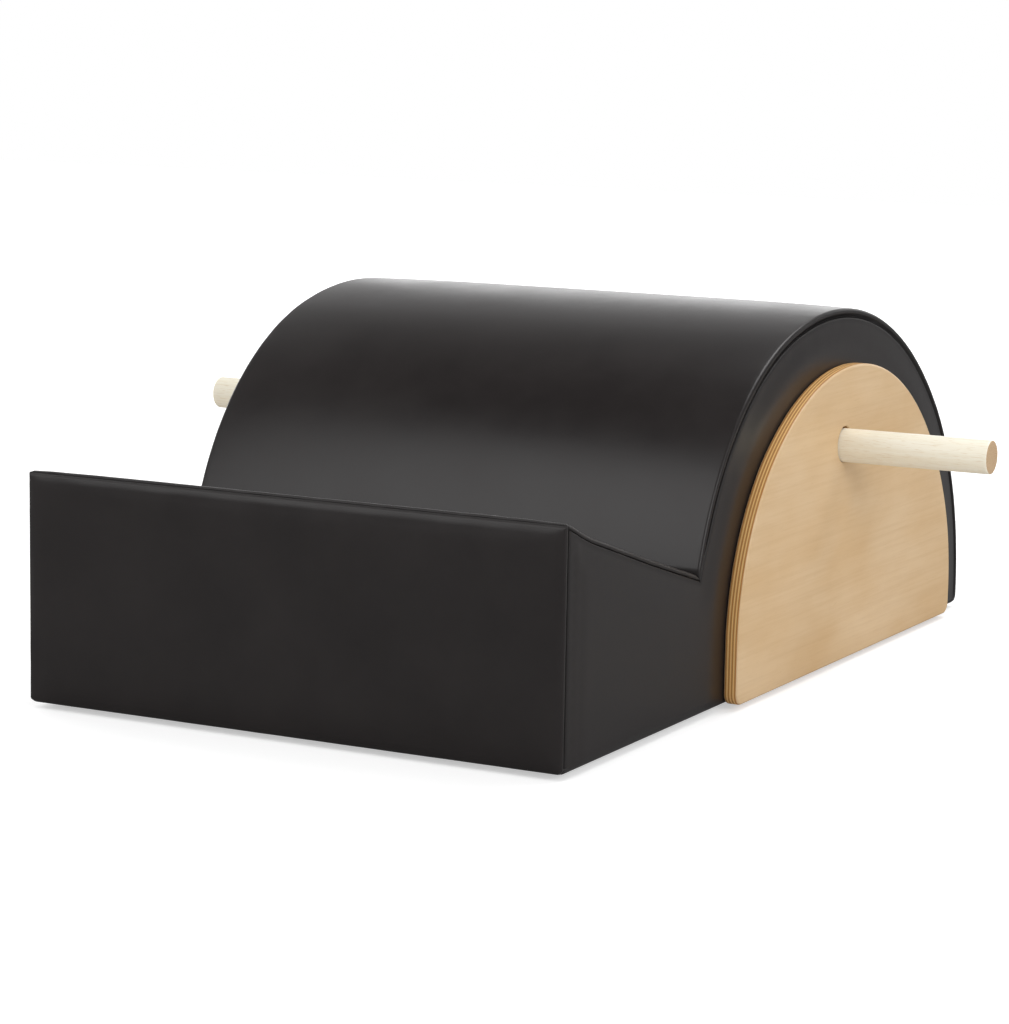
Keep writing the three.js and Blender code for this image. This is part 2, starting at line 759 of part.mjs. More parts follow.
// The birch panels: an arch on straight upright sides, with small rounded bottom corners. An arch
// too low for its sides starts where it meets the corners.
function makeSidePanels(panelScrews) {
  const group = new THREE.Group();
  const sideAngle = ({ z, radius }) => Math.asin(Math.max(0, (panelCornerRadius - z) / radius));
  const first = sideAngle(panelArch.front);
  const last = Math.PI - sideAngle(panelArch.back);
  const arch = Array.from({ length: panelArchSteps + 1 }, (_, i) =>
    archPoint(panelArch, first + ((last - first) * i) / panelArchSteps, 0),
  );
  const corner = (side, edgeY) =>
    Array.from({ length: panelCornerSteps + 1 }, (_, i) => {
      const angle = (Math.PI / 2) * (i / panelCornerSteps);
      return {
        y: edgeY - side * panelCornerRadius * (1 - Math.sin(angle)),
        z: panelCornerRadius * (1 - Math.cos(angle)),
      };
    });
  const outline = [...corner(-1, arch[0].y).reverse(), ...corner(1, arch.at(-1).y), ...arch.reverse()];
  const places = { side_panel_left: -panelInner - panelThickness, side_panel_right: panelInner };
  for (const [name, left] of Object.entries(places)) {
    const panel = piece(name, sideCut(outline, panelThickness, panelEdgeRound), materials.birch, left);
    const hole = poleBore(panelHoleClearance, left, panelThickness, seatedHole);
    group.add(cut(panel, [hole, ...panelScrews.map((one) => one.bore)]));
  }
  return group;
}

function makeUnderside(railY, footScrews) {
  const group = new THREE.Group();
  const clothTop = clothBottom + clothThickness - bodyBottom;
  const cloth = block(
    new THREE.Vector3(clothInset - halfWidth, clothInset, clothTop - clothThickness),
    new THREE.Vector3(halfWidth - clothInset, bodyLength - clothInset, clothTop),
  );
  group.add(cut(piece("dust_cloth", cloth, materials.cloth), footScrews.map((one) => one.bore)));
  const recessRadius = footScrew.headRadius + gap;
  const shankHole = footScrew.shankRadius + gap;
  const profile = [
    [recessRadius, 0],
    [footRadius - footTaper, 0],
    [footRadius, footTaper],
    [footRadius - footTaper, footHeight],
    [shankHole, footHeight],
    [shankHole, footRecess],
    [recessRadius, footRecess],
    [recessRadius, 0],
  ];
  for (const [place, y] of Object.entries(railY)) {
    for (const side of [-1, 1]) {
      const name = `foot_${side < 0 ? "left" : "right"}_${place}`;
      const foot = piece(name, turned(profile, footSteps), materials.rubber);
      foot.position.set(side * footX, y + railWidth / 2, -bodyBottom);
      foot.rotation.copy(aims.up);
      group.add(foot);
    }
  }
  return group;
}

function makePole() {
  const profile = [
    [0, -poleLength / 2],
    [poleRadius - poleChamfer, -poleLength / 2],
    [poleRadius, poleChamfer - poleLength / 2],
    [poleRadius, poleLength / 2 - poleChamfer],
    [poleRadius - poleChamfer, poleLength / 2],
    [0, poleLength / 2],
  ];
  const pole = piece("pole", turned(profile, poleSteps), materials.pole, 0, poleAxis.y, poleAxis.z);
  pole.rotation.copy(aims.right);
  return pole;
}

const { group: carcass, railY, footScrews, panelScrews } = makeCarcass();
const spineCorrector = new THREE.Group();
spineCorrector.position.set(0, -bodyLength / 2, bodyBottom);
spineCorrector.add(
  carcass,
  makePadding(panelScrews),
  makeCovers(panelScrews),
  makeSidePanels(panelScrews),
  makeUnderside(railY, footScrews),
  makePole(),
);

const part = new THREE.Group();
part.add(spineCorrector);

export default part;
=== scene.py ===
"""Pilates spine corrector: vinyl pads on a plywood carcass, birch side panels and a wooden pole.

Lengths are in metres. +X runs along the pole, +Y from the front panel to the back of the barrel and
+Z up, and the floor is at z = 0. In the body's side outline a place is a pair (y, z).
"""

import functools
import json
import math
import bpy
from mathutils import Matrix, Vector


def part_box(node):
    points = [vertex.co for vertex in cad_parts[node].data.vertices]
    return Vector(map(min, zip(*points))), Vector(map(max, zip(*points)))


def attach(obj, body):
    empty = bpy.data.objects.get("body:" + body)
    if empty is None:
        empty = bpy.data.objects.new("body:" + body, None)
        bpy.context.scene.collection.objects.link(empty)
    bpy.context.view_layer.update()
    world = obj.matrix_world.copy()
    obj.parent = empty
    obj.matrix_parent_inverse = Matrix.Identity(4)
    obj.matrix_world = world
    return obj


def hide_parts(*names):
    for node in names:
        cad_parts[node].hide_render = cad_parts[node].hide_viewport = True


bl_info = {
    "name": "Spine Corrector",
    "version": (1, 0, 0),
    "blender": (4, 5, 0),
    "location": "View3D > Sidebar > Spine Corrector",
    "description": "Builds the pads, wood, underside and studio stage of a pilates spine corrector",
    "category": "Object",
}

import bpy
import numpy as np
from bpy.props import FloatProperty, FloatVectorProperty, IntProperty, PointerProperty
from bpy.types import Operator, Panel, PropertyGroup
from mathutils import Matrix, Vector, geometry, noise

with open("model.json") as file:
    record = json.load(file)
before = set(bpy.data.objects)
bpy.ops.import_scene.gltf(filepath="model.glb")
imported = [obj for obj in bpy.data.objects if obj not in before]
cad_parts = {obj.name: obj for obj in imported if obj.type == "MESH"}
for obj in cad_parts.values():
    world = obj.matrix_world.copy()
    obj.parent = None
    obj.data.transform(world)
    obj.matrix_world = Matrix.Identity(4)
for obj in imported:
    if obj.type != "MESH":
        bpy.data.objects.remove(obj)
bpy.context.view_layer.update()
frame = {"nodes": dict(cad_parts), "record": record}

MM = 0.001
SIDES = {"left": -1, "right": 1}
ENDS = ("front", "middle", "rear")
CLEARANCE = 0.3 * MM
SPARE = 1.0 * MM
OBJECT_MIDDLE = Vector((0.0, 0.0, 0.15))

# Steps of a rolled edge and of a cover that turns into a seam
ROLL_STEPS = 8
TUCK_STEPS = 6

# Gathers beside the seams: their waves, and what sets the left edge and the ends apart
GATHER_WAVE = 0.013
END_GATHER_WAVE = 0.017
LEFT_SEED = 7.3
END_SEED = 3.1
SIDE_SEED = 4.4

# Seat: where the padding's two rises behind the front edge start to fade and end
SEAT_PROUD_FADE = (0.03, 0.16)
LIP_PROUD_FADE = (0.008, 0.045)

# Seat: share of the crown at its front edge, its growth, and its loss towards the crease
EDGE_CROWN = 0.45
CROWN_GROWTH = (0.0, 0.03)
CROWN_LOSS = 0.6
CROWN_LOSS_RUN = (0.09, 0.20)

# Pads: rings of points that the simulation holds still, and how far the foams stop short
HELD_RINGS = 3
FRONT_FOAM_SHORT = 3.3 * MM
TOP_FOAM_SHORT = 3.8 * MM

# Side pads: shoulder beside a seam, run in which the foam gives out, least thickness, what is
# held near a seam and round the birch panel, and the distance from a seam given to the hem
SHOULDER = 2.0 * MM
FOAM_RUN = 3.0 * MM
THINNEST = 0.0005
HELD_AT_SEAM = 2.5 * MM
HELD_ROUND_PANEL = 3.0 * MM
HEM_SEAM = 30.0 * MM

# Hems under the body: rows from the roll inwards and the run over which they are drawn in, in
# millimetres, then the gap between two hems and the extra distance of their inner faces
HEM_ROWS = (3.0, 8.0, 14.0, 21.0)
HEM_DRAW = 6.0
HEM_GAP = 0.6 * MM
HEM_LIFT = 0.2 * MM


def length(label, default, description):
    """A size in metres that a user can change."""
    return FloatProperty(
        name=label, default=default, description=description, min=0.0, unit="LENGTH", precision=5
    )


def fraction(label, default, description):
    """A number from 0 to 1."""
    return FloatProperty(name=label, default=default, description=description, min=0.0, max=1.0)


def linear_colour(label, default, description):
    """A linear colour."""
    return FloatVectorProperty(
        name=label, default=default, description=description, subtype="COLOR", min=0.0, max=1.0
    )


def turn(label, default, description):
    """An angle, kept in radians."""
    return FloatProperty(name=label, default=default, description=description, subtype="ANGLE")


class BodyShape(PropertyGroup):
    """Side outline of the covered body."""

    front_radius: length("Front shoulder radius", 0.248, "Radius of the barrel towards the seat")
    top_radius: length("Top radius", 0.336, "Radius of the barrel over its crown")
    back_radius: length("Back shoulder radius", 0.255, "Radius of the barrel behind")
    front_turn: turn("Front turn", 0.407 * math.pi, "Facing angle where front shoulder meets top")
    back_turn: turn("Back turn", 0.755 * math.pi, "Facing angle where top meets back shoulder")
    cad_crown: length("Crown in the solids", 0.0015, "Rise of the covers' middle in the solids")
    lip_height: length("Lip height", 0.177, "Height of the seat's slope at the front")
    lip_rise: length("Lip rise", 0.004, "Extra height of the lip over the slope")
    lip_run: length("Lip run", 0.045, "Length over which the lip runs out into the slope")
    valley_height: length("Valley height", 0.111, "Height where seat and barrel meet")


class CoverShape(PropertyGroup):
    """How the vinyl lies over the padding."""

    pad_depth: length("Pad depth", 0.0265, "Cover and foam on the seat and the barrel")
    front_depth: length("Front depth", 0.0163, "Cover and foam on the front")
    side_depth: length("Side depth", 0.0073, "Cover and foam on the sides")
    skin: length("Skin", 0.0014, "Thickness of the vinyl where it has no foam behind it")
    edge_roll: length("Edge roll", 0.0024, "Radius of the seat's and the barrel's side edges")
    edge_lap: length("Edge lap", 0.0008, "Straight drop of the barrel's cover below its rolled edge")
    side_gap: length("Side gap", 0.0036, "Extra depth of the side covers' seams along the barrel")
    lap_start: length("Lap start", 0.003, "Distance from the crease where that drop begins")
    lap_end: length("Lap end", 0.035, "Distance from the crease where it is full")
    seam_roll: length("Seam roll", 0.0012, "Radius with which a cover turns into a seam")
    front_roll: length("Front roll", 0.0020, "Radius of the front pad's edges")
    front_inset: length("Front inset", 0.0006, "How far the front pad's edges lie behind its middle")
    seat_roll: length("Seat roll", 0.0022, "Drop of the seat's rounded front edge")
    seat_run: length("Seat run", 0.0080, "Distance over which that edge rounds off")
    seat_start: length("Seat start", 0.0042, "Distance of the seat's front edge from the front face")
    hem_roll: length("Hem roll", 0.004, "Radius with which the covers turn under the body")
    barrel_hem_roll: length("Barrel hem roll", 0.0075, "The same behind, where the pad is thick")
    crease_dip: length("Crease dip", 0.0028, "Depth of the crease between seat and barrel")
    crease_reach: length("Crease reach", 0.0055, "Width over which a pad rolls into the crease")
    barrel_crown: length("Barrel crown", 0.0016, "Rise of the barrel's middle")
    seat_crown: length("Seat crown", 0.0026, "Rise of the seat's middle")
    front_crown: length("Front crown", 0.0009, "Bulge of the front pad's middle")
    proud: length("Proud", 0.0010, "How far the padding pushes the front corners out")
    seat_proud: length("Seat proud", 0.0019, "Extra height of the seat's front half")
    lip_proud: length("Lip proud", 0.0017, "Further height of the seat's lip")
    front_fold: length("Front fold", 0.0030, "Radius with which its ends turn into the side seams")
    front_step: length("Front step", 0.0018, "Height of the seat's edge over the front pad's top")
    front_tuck: length("Front tuck", 0.0013, "Radius with which the front pad turns into its seams")
    side_crown: length("Side crown", 0.0012, "Bulge of the side pads ahead of the birch panels")
    pucker: length("Pucker", 0.00028, "Depth of the small gathers beside a seam")
    pucker_reach: length("Pucker reach", 0.009, "Distance over which the gathers fade")
    allowance: length("Seam allowance", 0.012, "Width of the turned-in cloth that shows as a ridge")
    allowance_ridge: length("Allowance ridge", 0.00035, "Height of that ridge")
    cell: length("Cell", 0.0045, "Size of the meshes' cells")
    side_seam_depth: length("Side seam depth", 0.0042, "Depth of the side covers' seams at the seat")
    side_seam_front: length("Side seam front", 0.0078, "Distance of their seams from the front face")
    stitch_pitch: length("Stitch pitch", 0.004, "Distance from stitch to stitch")
    stitch_radius: length("Stitch radius", 0.00028, "Half the thread's thickness")


class ClothSettings(PropertyGroup):
    """The simulation that lets the padding push the covers out."""

    frames: IntProperty(name="Frames", default=18, min=2, description="Steps of the simulation")
    pressure: FloatProperty(name="Pressure", default=4.0, min=0.0, description="Push of the foam")
    stiffness: FloatProperty(name="Stiffness", default=45.0, min=0.0, description="Pull of the vinyl")
    reach: length("Reach", 0.0007, "Farthest that a point of a cover may move")
    evening: IntProperty(name="Evening", default=10, min=0, description="Passes that even the shift")
    quality: IntProperty(name="Quality", default=5, min=1, description="Solver steps for each frame")


class PanelShape(PropertyGroup):
    """The birch side panels."""

    top_radius: length("Top radius", 0.251, "Radius of the panel's arch over its crown")
    shoulder_radius: length("Shoulder radius", 0.188, "Radius of the arch's two shoulders")
    front_turn: turn("Front turn", 0.287 * math.pi, "Facing angle where front shoulder meets top")
    back_turn: turn("Back turn", 0.854 * math.pi, "Facing angle where top meets back shoulder")
    setback: length("Setback", 0.014, "Distance of the panel's crown behind the barrel's")
    edge_round: length("Edge round", 0.002, "Radius of the panel's edges")
    corner_radius: length("Corner radius", 0.010, "Radius of the panel's bottom corners")
    hole_radius: length("Hole radius", 0.015, "Radius of the pole's hole")
    hole_chamfer: length("Hole chamfer", 0.0006, "Broken edge of the pole's hole")
    plies: IntProperty(name="Plies", default=9, min=3, description="Layers of the plywood")
    face_light: linear_colour("Light veneer", (0.700, 0.512, 0.310), "Light tone of the face veneer")
    face_dark: linear_colour("Dark veneer", (0.610, 0.400, 0.195), "Dark tone of the face veneer")
    ply_light: linear_colour("Light ply", (0.860, 0.520, 0.190), "Plies whose grain lies along the edge")
    ply_dark: linear_colour("Dark ply", (0.470, 0.190, 0.045), "Plies whose end grain shows at the edge")


class PoleShape(PropertyGroup):
    """The wooden pole."""

    chamfer: length("Chamfer", 0.0015, "Broken edge at the pole's ends")
    sides: IntProperty(name="Sides", default=72, min=12, description="Steps round the pole")
    tone: linear_colour("Tone", (0.880, 0.840, 0.715), "Pale tone of the wood")
    flecks: linear_colour("Flecks", (0.690, 0.560, 0.370), "Darker tone of its short flecks")
    end_grain: linear_colour("End grain", (0.600, 0.430, 0.260), "Tone of the sawn ends")


class UndersideShape(PropertyGroup):
    """Dust cloth, staples, feet and their screws."""

    cloth_sag: length("Cloth sag", 0.0009, "Depth of the dust cloth's slack between the rails")
    staple_inset: length("Staple inset", 0.009, "Distance of the staples from the cloth's edge")
    staple_pitch: length("Staple pitch", 0.040, "Distance from staple to staple")
    staple_width: length("Staple width", 0.010, "Length of a staple's crown")
    staple_wire: length("Staple wire", 0.0007, "Thickness of the staple's wire")
    foot_round: length("Foot round", 0.0008, "Radius of a foot's lower edge")
    screw_recess: length("Screw recess", 0.0006, "Depth of the cross cut into a foot screw's head")


class StageLook(PropertyGroup):
    """Camera, floor and lamps."""

    camera_place: FloatVectorProperty(
        name="Camera place", default=(1.2415, -2.4148, 0.5528), subtype="TRANSLATION",
        description="Where the camera stands",
    )
    azimuth: turn("Azimuth", 0.484919, "Angle of the view from the front, about +Z")
    elevation: turn("Elevation", 0.158069, "Angle of the view above the horizontal")
    roll: turn("Roll", 0.0170352, "Tilt of the picture")
    lens: FloatProperty(name="Lens", default=114.68, description="Focal length in millimetres")
    floor_tone: linear_colour("Floor tone", (0.70, 0.70, 0.70), "Colour of the floor")
    floor_gloss: linear_colour("Floor in gloss", (0.25, 0.25, 0.25), "Its colour in reflections")
    floor_size: length("Floor size", 12.0, "Side of the square floor")
    floor_lift: fraction("Floor lift", 0.49, "Glow of the floor near the object, where it is seen")
    floor_top: fraction("Floor top", 0.9, "Its glow far from the object")
    floor_near: length("Floor near", 0.8, "Distance from the middle at which the glow starts to rise")
    floor_far: length("Floor far", 3.0, "Distance at which it is full")
    ambient: fraction("Ambient", 0.45, "Strength of the surroundings as a light")
    gloss_share: fraction("Gloss share", 0.05, "Part of the floor's glow that reflections show")
    backdrop_turn: turn("Backdrop turn", 2.50, "Bearing of the backdrop's middle from +X")
    beside: fraction("Beside", 0.22, "Brightness of reflections away from the backdrop")
    side_low: fraction("Side low", 0.15, "How squarely reflections face it where they brighten")
    side_high: fraction("Side high", 0.85, "How squarely they face it where they are brightest")
    wall_low: fraction("Wall low", 0.05, "Height in the surroundings up to which they are white")
    wall_high: fraction("Wall high", 0.95, "Height in the surroundings where the ceiling starts")
    ceiling: fraction("Ceiling", 0.14, "Brightness of the ceiling in reflections")
    front_power: FloatProperty(name="Front power", default=60.0, description="Front left softbox")
    right_power: FloatProperty(name="Right power", default=54.0, description="Right softbox")
    top_power: FloatProperty(name="Top power", default=50.0, description="Overhead softbox")
    left_power: FloatProperty(name="Left power", default=30.0, description="Left softbox")
    back_power: FloatProperty(name="Back power", default=16.0, description="Low softbox behind")


def smooth_step(low, high, value):
    """0 below low, 1 above high, and a smooth rise between."""
    t = np.clip((np.asarray(value, dtype=float) - low) / (high - low), 0.0, 1.0)
    return t * t * (3.0 - 2.0 * t)


def facing(angles):
    """Outward directions (y, z) for facing angles: 0 is forwards and a quarter turn is up."""
    angles = np.asarray(angles, dtype=float)
    return np.stack([-np.cos(angles), np.sin(angles)], axis=-1)


class Arch:
    """Three arcs that run smoothly into each other: a front shoulder, a top and a back shoulder."""

    def __init__(self, y, top, radii, turns):
        front_radius, top_radius, back_radius = radii
        self.turns = turns
        crown = np.array([y, top - top_radius])
        self.front = (crown + (top_radius - front_radius) * facing(turns[0]), front_radius)
        self.top = (crown, top_radius)
        self.back = (crown + (top_radius - back_radius) * facing(turns[1]), back_radius)

    def place(self, angles, depth=0.0):
        """Places on the arch, at a depth under it."""
        angles = np.atleast_1d(np.asarray(angles, dtype=float))[:, None]
        depth = np.reshape(np.asarray(depth, dtype=float), (-1, 1))
        front, top, back = (
            centre + (radius - depth) * facing(angles[:, 0])
            for centre, radius in (self.front, self.top, self.back)
        )
        return np.where(angles < self.turns[0], front, np.where(angles > self.turns[1], back, top))

    def radius(self, angle):
        """Radius of the arc that faces an angle."""
        if angle < self.turns[0]:
            return self.front[1]
        return self.back[1] if angle > self.turns[1] else self.top[1]


class Body:
    """Side outline of the covered body, placed by the frame's solids."""

    def __init__(self, shape):
        side_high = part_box("side_cover_right")[1]
        front_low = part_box("front_cover")[0]
        barrel_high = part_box("barrel_cover")[1]
        self.shape = shape
        self.half_width = side_high.x
        self.front = front_low.y
        self.bottom = front_low.z
        self.back = barrel_high.y - shape.cad_crown
        radii = (shape.front_radius, shape.top_radius, shape.back_radius)
        turns = (shape.front_turn, shape.back_turn)
        reach = shape.back_radius + (shape.back_radius - shape.top_radius) * math.cos(turns[1])
        self.barrel = Arch(self.back - reach, barrel_high.z - shape.cad_crown, radii, turns)
        (centre_y, centre_z), radius = self.barrel.front
        level = self.bottom + shape.valley_height - centre_z
        valley_y = centre_y - math.sqrt(radius ** 2 - level ** 2)
        self.valley = np.array([valley_y, self.bottom + shape.valley_height])
        self.valley_angle = math.atan2(level, centre_y - valley_y)
        self.fall = (shape.lip_height - shape.valley_height) / (valley_y - self.front)
        self.seat_angle = math.atan(self.fall)
        self.seat_out = np.array([math.sin(self.seat_angle), math.cos(self.seat_angle)])
        bisector = self.seat_out + facing(self.valley_angle)
        self.valley_out = 2.0 * bisector / float(bisector @ bisector)

    def slope(self, y, depth=0.0):
        """Height of the seat's plane, or of a plane at a depth under it."""
        start = self.bottom + self.shape.lip_height
        return start - self.fall * (y - self.front) - depth / math.cos(self.seat_angle)

    def lip(self, y):
        """Rise of the lip over the seat's plane."""
        near = np.clip(1.0 - (y - self.front) / self.shape.lip_run, 0.0, 1.0)
        return self.shape.lip_rise * near ** 2

    def valley_at(self, depth):
        """Where the seat's plane and the barrel meet at a depth under both."""
        return self.valley - self.valley_out * depth

    def lap_share(self, angle, cover):
        """Share of the barrel cover's lap at a facing angle: none at the crease, all above it."""
        arc = (np.asarray(angle) - self.valley_angle) * self.barrel.front[1]
        return smooth_step(cover.lap_start, cover.lap_end, arc)

    def end_angle(self, z, depth=0.0):
        """Facing angle at which the barrel comes down to a height behind."""
        (_, centre_z), radius = self.barrel.back
        return math.pi + math.asin((centre_z - z) / (radius - depth))


def linked(name, data):
    """An object of the scene that shows some data."""
    made = bpy.data.objects.new(name, data)
    bpy.context.scene.collection.objects.link(made)
    return made


def new_object(name, vertices, faces, edges=()):
    """A mesh object in the scene."""
    mesh = bpy.data.meshes.new(name)
    vertices = np.asarray(vertices, dtype=float).tolist()
    mesh.from_pydata(vertices, list(edges), [tuple(face) for face in faces])
    mesh.update()
    return linked(name, mesh)


def reversed_faces(faces, shift=0):
    """Faces that look the other way, with their points' numbers raised by a shift."""
    return [tuple(i + shift for i in reversed(face)) for face in faces]


def shifted_faces(faces, shift):
    """Faces with their points' numbers raised by a shift."""
    return [tuple(i + shift for i in face) for face in faces]


def both_sides(name, vertices, faces):
    """The left piece and the right one, each with its side, from the right one's mesh."""
    for side, sign in SIDES.items():
        mirrored = vertices * np.array([sign, 1.0, 1.0])
        shown = faces if sign > 0 else reversed_faces(faces)
        yield side, new_object(f"{name}_{side}", mirrored, shown)


def soften(piece, sharp_degrees=50.0):
    """Smooth shading, with edges sharper than an angle kept."""
    piece.data.shade_smooth()
    piece.data.set_sharp_from_angle(angle=math.radians(sharp_degrees))


def point_values(piece, name, values):
    """Stores one number for each vertex."""
    attribute = piece.data.attributes.new(name, "FLOAT", "POINT")
    attribute.data.foreach_set("value", np.asarray(values, dtype=np.float32))


def declare(piece, body, material, nodes=()):
    """Gives a finished piece its material and its body, and hides the solids that it stands for."""
    piece.data.materials.clear()
    piece.data.materials.append(material)
    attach(piece, body)
    if nodes:
        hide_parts(*nodes)


def grid_faces(rows, columns, ring=False):
    """Quads of a grid of points, kept row by row. A ring joins the last column to the first."""
    last = columns if ring else columns - 1
    faces = []
    for row in range(rows - 1):
        for column in range(last):
            a = row * columns + column
            b = row * columns + (column + 1) % columns
            faces.append((a, b, b + columns, a + columns))
    return faces


def directed_edges(faces):
    """Every edge of some faces, in the direction in which each face runs along it."""
    return {pair for face in faces for pair in zip(face, face[1:] + face[:1])}


def closed_shell(outer, inner, faces):
    """A solid between an outer sheet and an inner one of the same layout."""
    count = len(outer)
    edges = directed_edges(faces)
    rim = sorted((a, b) for a, b in edges if (b, a) not in edges)
    backs = reversed_faces(faces, count)
    walls = [(b, a, a + count, b + count) for a, b in rim]
    return np.vstack([outer, inner]), list(faces) + backs + walls


def noise_along(values, wave, seed):
    """Smooth noise from -1 to 1 along a list of distances."""
    return np.array([noise.noise(Vector((value / wave, seed, 0.37 * seed))) for value in values])


def distances(points):
    """Distance along a line of points to each of them."""
    steps = np.linalg.norm(np.diff(points, axis=0), axis=1)
    return np.concatenate([[0.0], np.cumsum(steps)])


def quarter(steps):
    """Angles of a quarter turn, without its first."""
    return [math.pi / 2 * (i + 1) / steps for i in range(steps)]


def rounding(radius, steps):
    """How far a rounded edge lies inside its two faces, in pairs, from one face to the other."""
    return [
        (radius * (1 - math.cos(t)), radius * (1 - math.sin(t))) for t in [0.0] + quarter(steps)
    ]


def pushed_out(outer, faces, held):
    """The outer sheet after a cloth simulation in which the padding pushes it out."""
    settings = bpy.context.scene.cover_cloth
    scene = bpy.context.scene
    sheet = new_object("cover_cloth", outer, faces)
    group = sheet.vertex_groups.new(name="held")
    group.add(np.flatnonzero(held).tolist(), 1.0, "REPLACE")
    modifier = sheet.modifiers.new("Cloth", "CLOTH")
    cloth = modifier.settings
    cloth.quality = settings.quality
    cloth.vertex_group_mass = group.name
    cloth.use_pressure = True
    cloth.uniform_pressure_force = settings.pressure
    cloth.tension_stiffness = settings.stiffness
    cloth.compression_stiffness = settings.stiffness
    cloth.shear_stiffness = settings.stiffness
    cloth.effector_weights.gravity = 0.0
    modifier.collision_settings.use_collision = False
    modifier.point_cache.frame_start = 1
    modifier.point_cache.frame_end = settings.frames
    for step in range(1, settings.frames + 1):
        scene.frame_set(step)
    evaluated = sheet.evaluated_get(bpy.context.evaluated_depsgraph_get())
    mesh = evaluated.to_mesh()
    moved = np.empty(len(outer) * 3)
    mesh.vertices.foreach_get("co", moved)
    evaluated.to_mesh_clear()
    bpy.data.objects.remove(sheet)
    scene.frame_set(1)
    shift = moved.reshape(-1, 3) - outer
    pairs = np.array(sorted({tuple(sorted(pair)) for pair in directed_edges(faces)}))
    both = np.vstack([pairs, pairs[:, ::-1]])
    near = np.bincount(both[:, 0], minlength=len(outer))[:, None]
    free = ~held[:, None]
    for _ in range(settings.evening):
        total = np.column_stack([
            np.bincount(both[:, 0], shift[both[:, 1], k], minlength=len(outer)) for k in range(3)
        ])
        shift = np.where(free, 0.5 * shift + 0.5 * total / near, 0.0)
    far = np.linalg.norm(shift, axis=1)[:, None]
    return outer + shift * np.minimum(1.0, settings.reach / np.maximum(far, 1e-9))


class Section:
    """A cover's section across the body: x, depth, and where the pad's inner face answers it."""

    def __init__(self, half_width, roll, lap, tuck, cell, inner_half, depth_share, fullness):
        flat = half_width - roll
        count = int(round(flat / cell))
        half = [(flat * i / count, 0.0) for i in range(count + 1)]
        half += [(flat + roll * math.sin(t), roll * (1 - math.cos(t))) for t in quarter(ROLL_STEPS)]
        bottom = roll + CLEARANCE / 3
        half.append((half_width, bottom))
        lapped = len(half) - 1
        half += [
            (half_width - tuck * (1 - math.cos(t)), bottom + tuck * math.sin(t))
            for t in quarter(TUCK_STEPS)
        ]
        half = np.array(half)
        rim = len(half) - count - 1
        weight = 1.0 - np.clip(half[:, 0] / flat, 0.0, 1.0) ** fullness
        inner_x = np.minimum(half[:, 0], inner_half)
        share_down = np.ones(len(half))
        share_down[count + 1:] = np.linspace(1.0, depth_share, rim + 1)[1:]
        inner_x[count + 1:] = inner_half
        seam = distances(half)[-1] - distances(half)
        drop = np.zeros(len(half))
        drop[lapped:] = lap
        self.drop = self._mirror(drop)
        self.x = self._mirror(half[:, 0], -1.0)
        self.depth = self._mirror(half[:, 1])
        self.weight = self._mirror(weight)
        self.inner_x = self._mirror(inner_x, -1.0)
        self.inner_share = self._mirror(share_down)
        self.seam = self._mirror(seam)
        self.seam_depth = half[-1, 1]

    @staticmethod
    def _mirror(values, sign=1.0):
        """Both halves' values, from those of the right half."""
        return np.concatenate([sign * values[:0:-1], values])


class Path:
    """A cover's way along the body: places, outward directions, crease dips, crowns and laps."""

    def __init__(self):
        self.rows = []

    def add(self, place, out, inner, dip=0.0, crown=1.0, lap=0.0):
        """A station whose pad's inner face lies at a place of its own."""
        self.rows.append((*place, *out, *inner, dip, crown, lap))

    def arrays(self):
        """Places, outward directions, inner places, dips, crown shares and lap shares."""
        rows = np.array(self.rows)
        return rows[:, 0:2], rows[:, 2:4], rows[:, 4:6], rows[:, 6], rows[:, 7], rows[:, 8]


def pad_sheets(section, path, crown, held_ends, gathers):
    """Outer and inner sheets of a pad from a section carried along a path, and their faces."""
    place, out, inner_place, dip, crown_share, lap_share = path.arrays()
    cover = bpy.context.scene.cover_shape
    along = distances(place)
    rows, columns = len(place), len(section.x)
    depth = section.depth[None, :] * (1.0 - dip[:, None] / section.seam_depth) + dip[:, None]
    depth = depth + section.drop[None, :] * lap_share[:, None]
    fade = np.exp(-section.seam / cover.pucker_reach)[None, :]
    sign = np.sign(section.x)[None, :]
    rough = noise_along(along, GATHER_WAVE, gathers)[:, None] * (sign > 0)
    rough = rough + noise_along(along, GATHER_WAVE, gathers + LEFT_SEED)[:, None] * (sign < 0)
    depth = depth + cover.pucker * fade * rough * (section.seam > 0.0)[None, :]
    ends = np.minimum(along, along[-1] - along) if held_ends == "both" else along
    end_fade = np.exp(-ends / cover.pucker_reach)[:, None] * (section.weight > 0.02)[None, :]
    end_rough = noise_along(section.x, END_GATHER_WAVE, gathers + END_SEED)
    depth = depth + cover.pucker * end_fade * end_rough[None, :]
    depth = depth - crown * section.weight[None, :] * crown_share[:, None]
    outer = np.empty((rows, columns, 3))
    outer[:, :, 0] = section.x[None, :]
    outer[:, :, 1:] = place[:, None, :] - out[:, None, :] * depth[:, :, None]
    inward = inner_place - place
    thick = np.linalg.norm(inward, axis=1)
    inward = inward / thick[:, None]
    reach = np.maximum(thick[:, None] * section.inner_share[None, :], depth + CLEARANCE)
    inner = np.empty((rows, columns, 3))
    inner[:, :, 0] = section.inner_x[None, :]
    inner[:, :, 1:] = place[:, None, :] + inward[:, None, :] * reach[:, :, None]
    faces = grid_faces(rows, columns)
    seam = np.minimum(section.seam[None, :], ends[:, None])
    return outer.reshape(-1, 3), inner.reshape(-1, 3), faces, seam.reshape(-1)


def finish_pad(name, sheets, nodes):
    outer, inner, faces, seam = sheets
    outer = pushed_out(outer, faces, rim_points(faces, len(outer)))
    dress_pad(new_object(name, *closed_shell(outer, inner, faces)), seam, nodes)


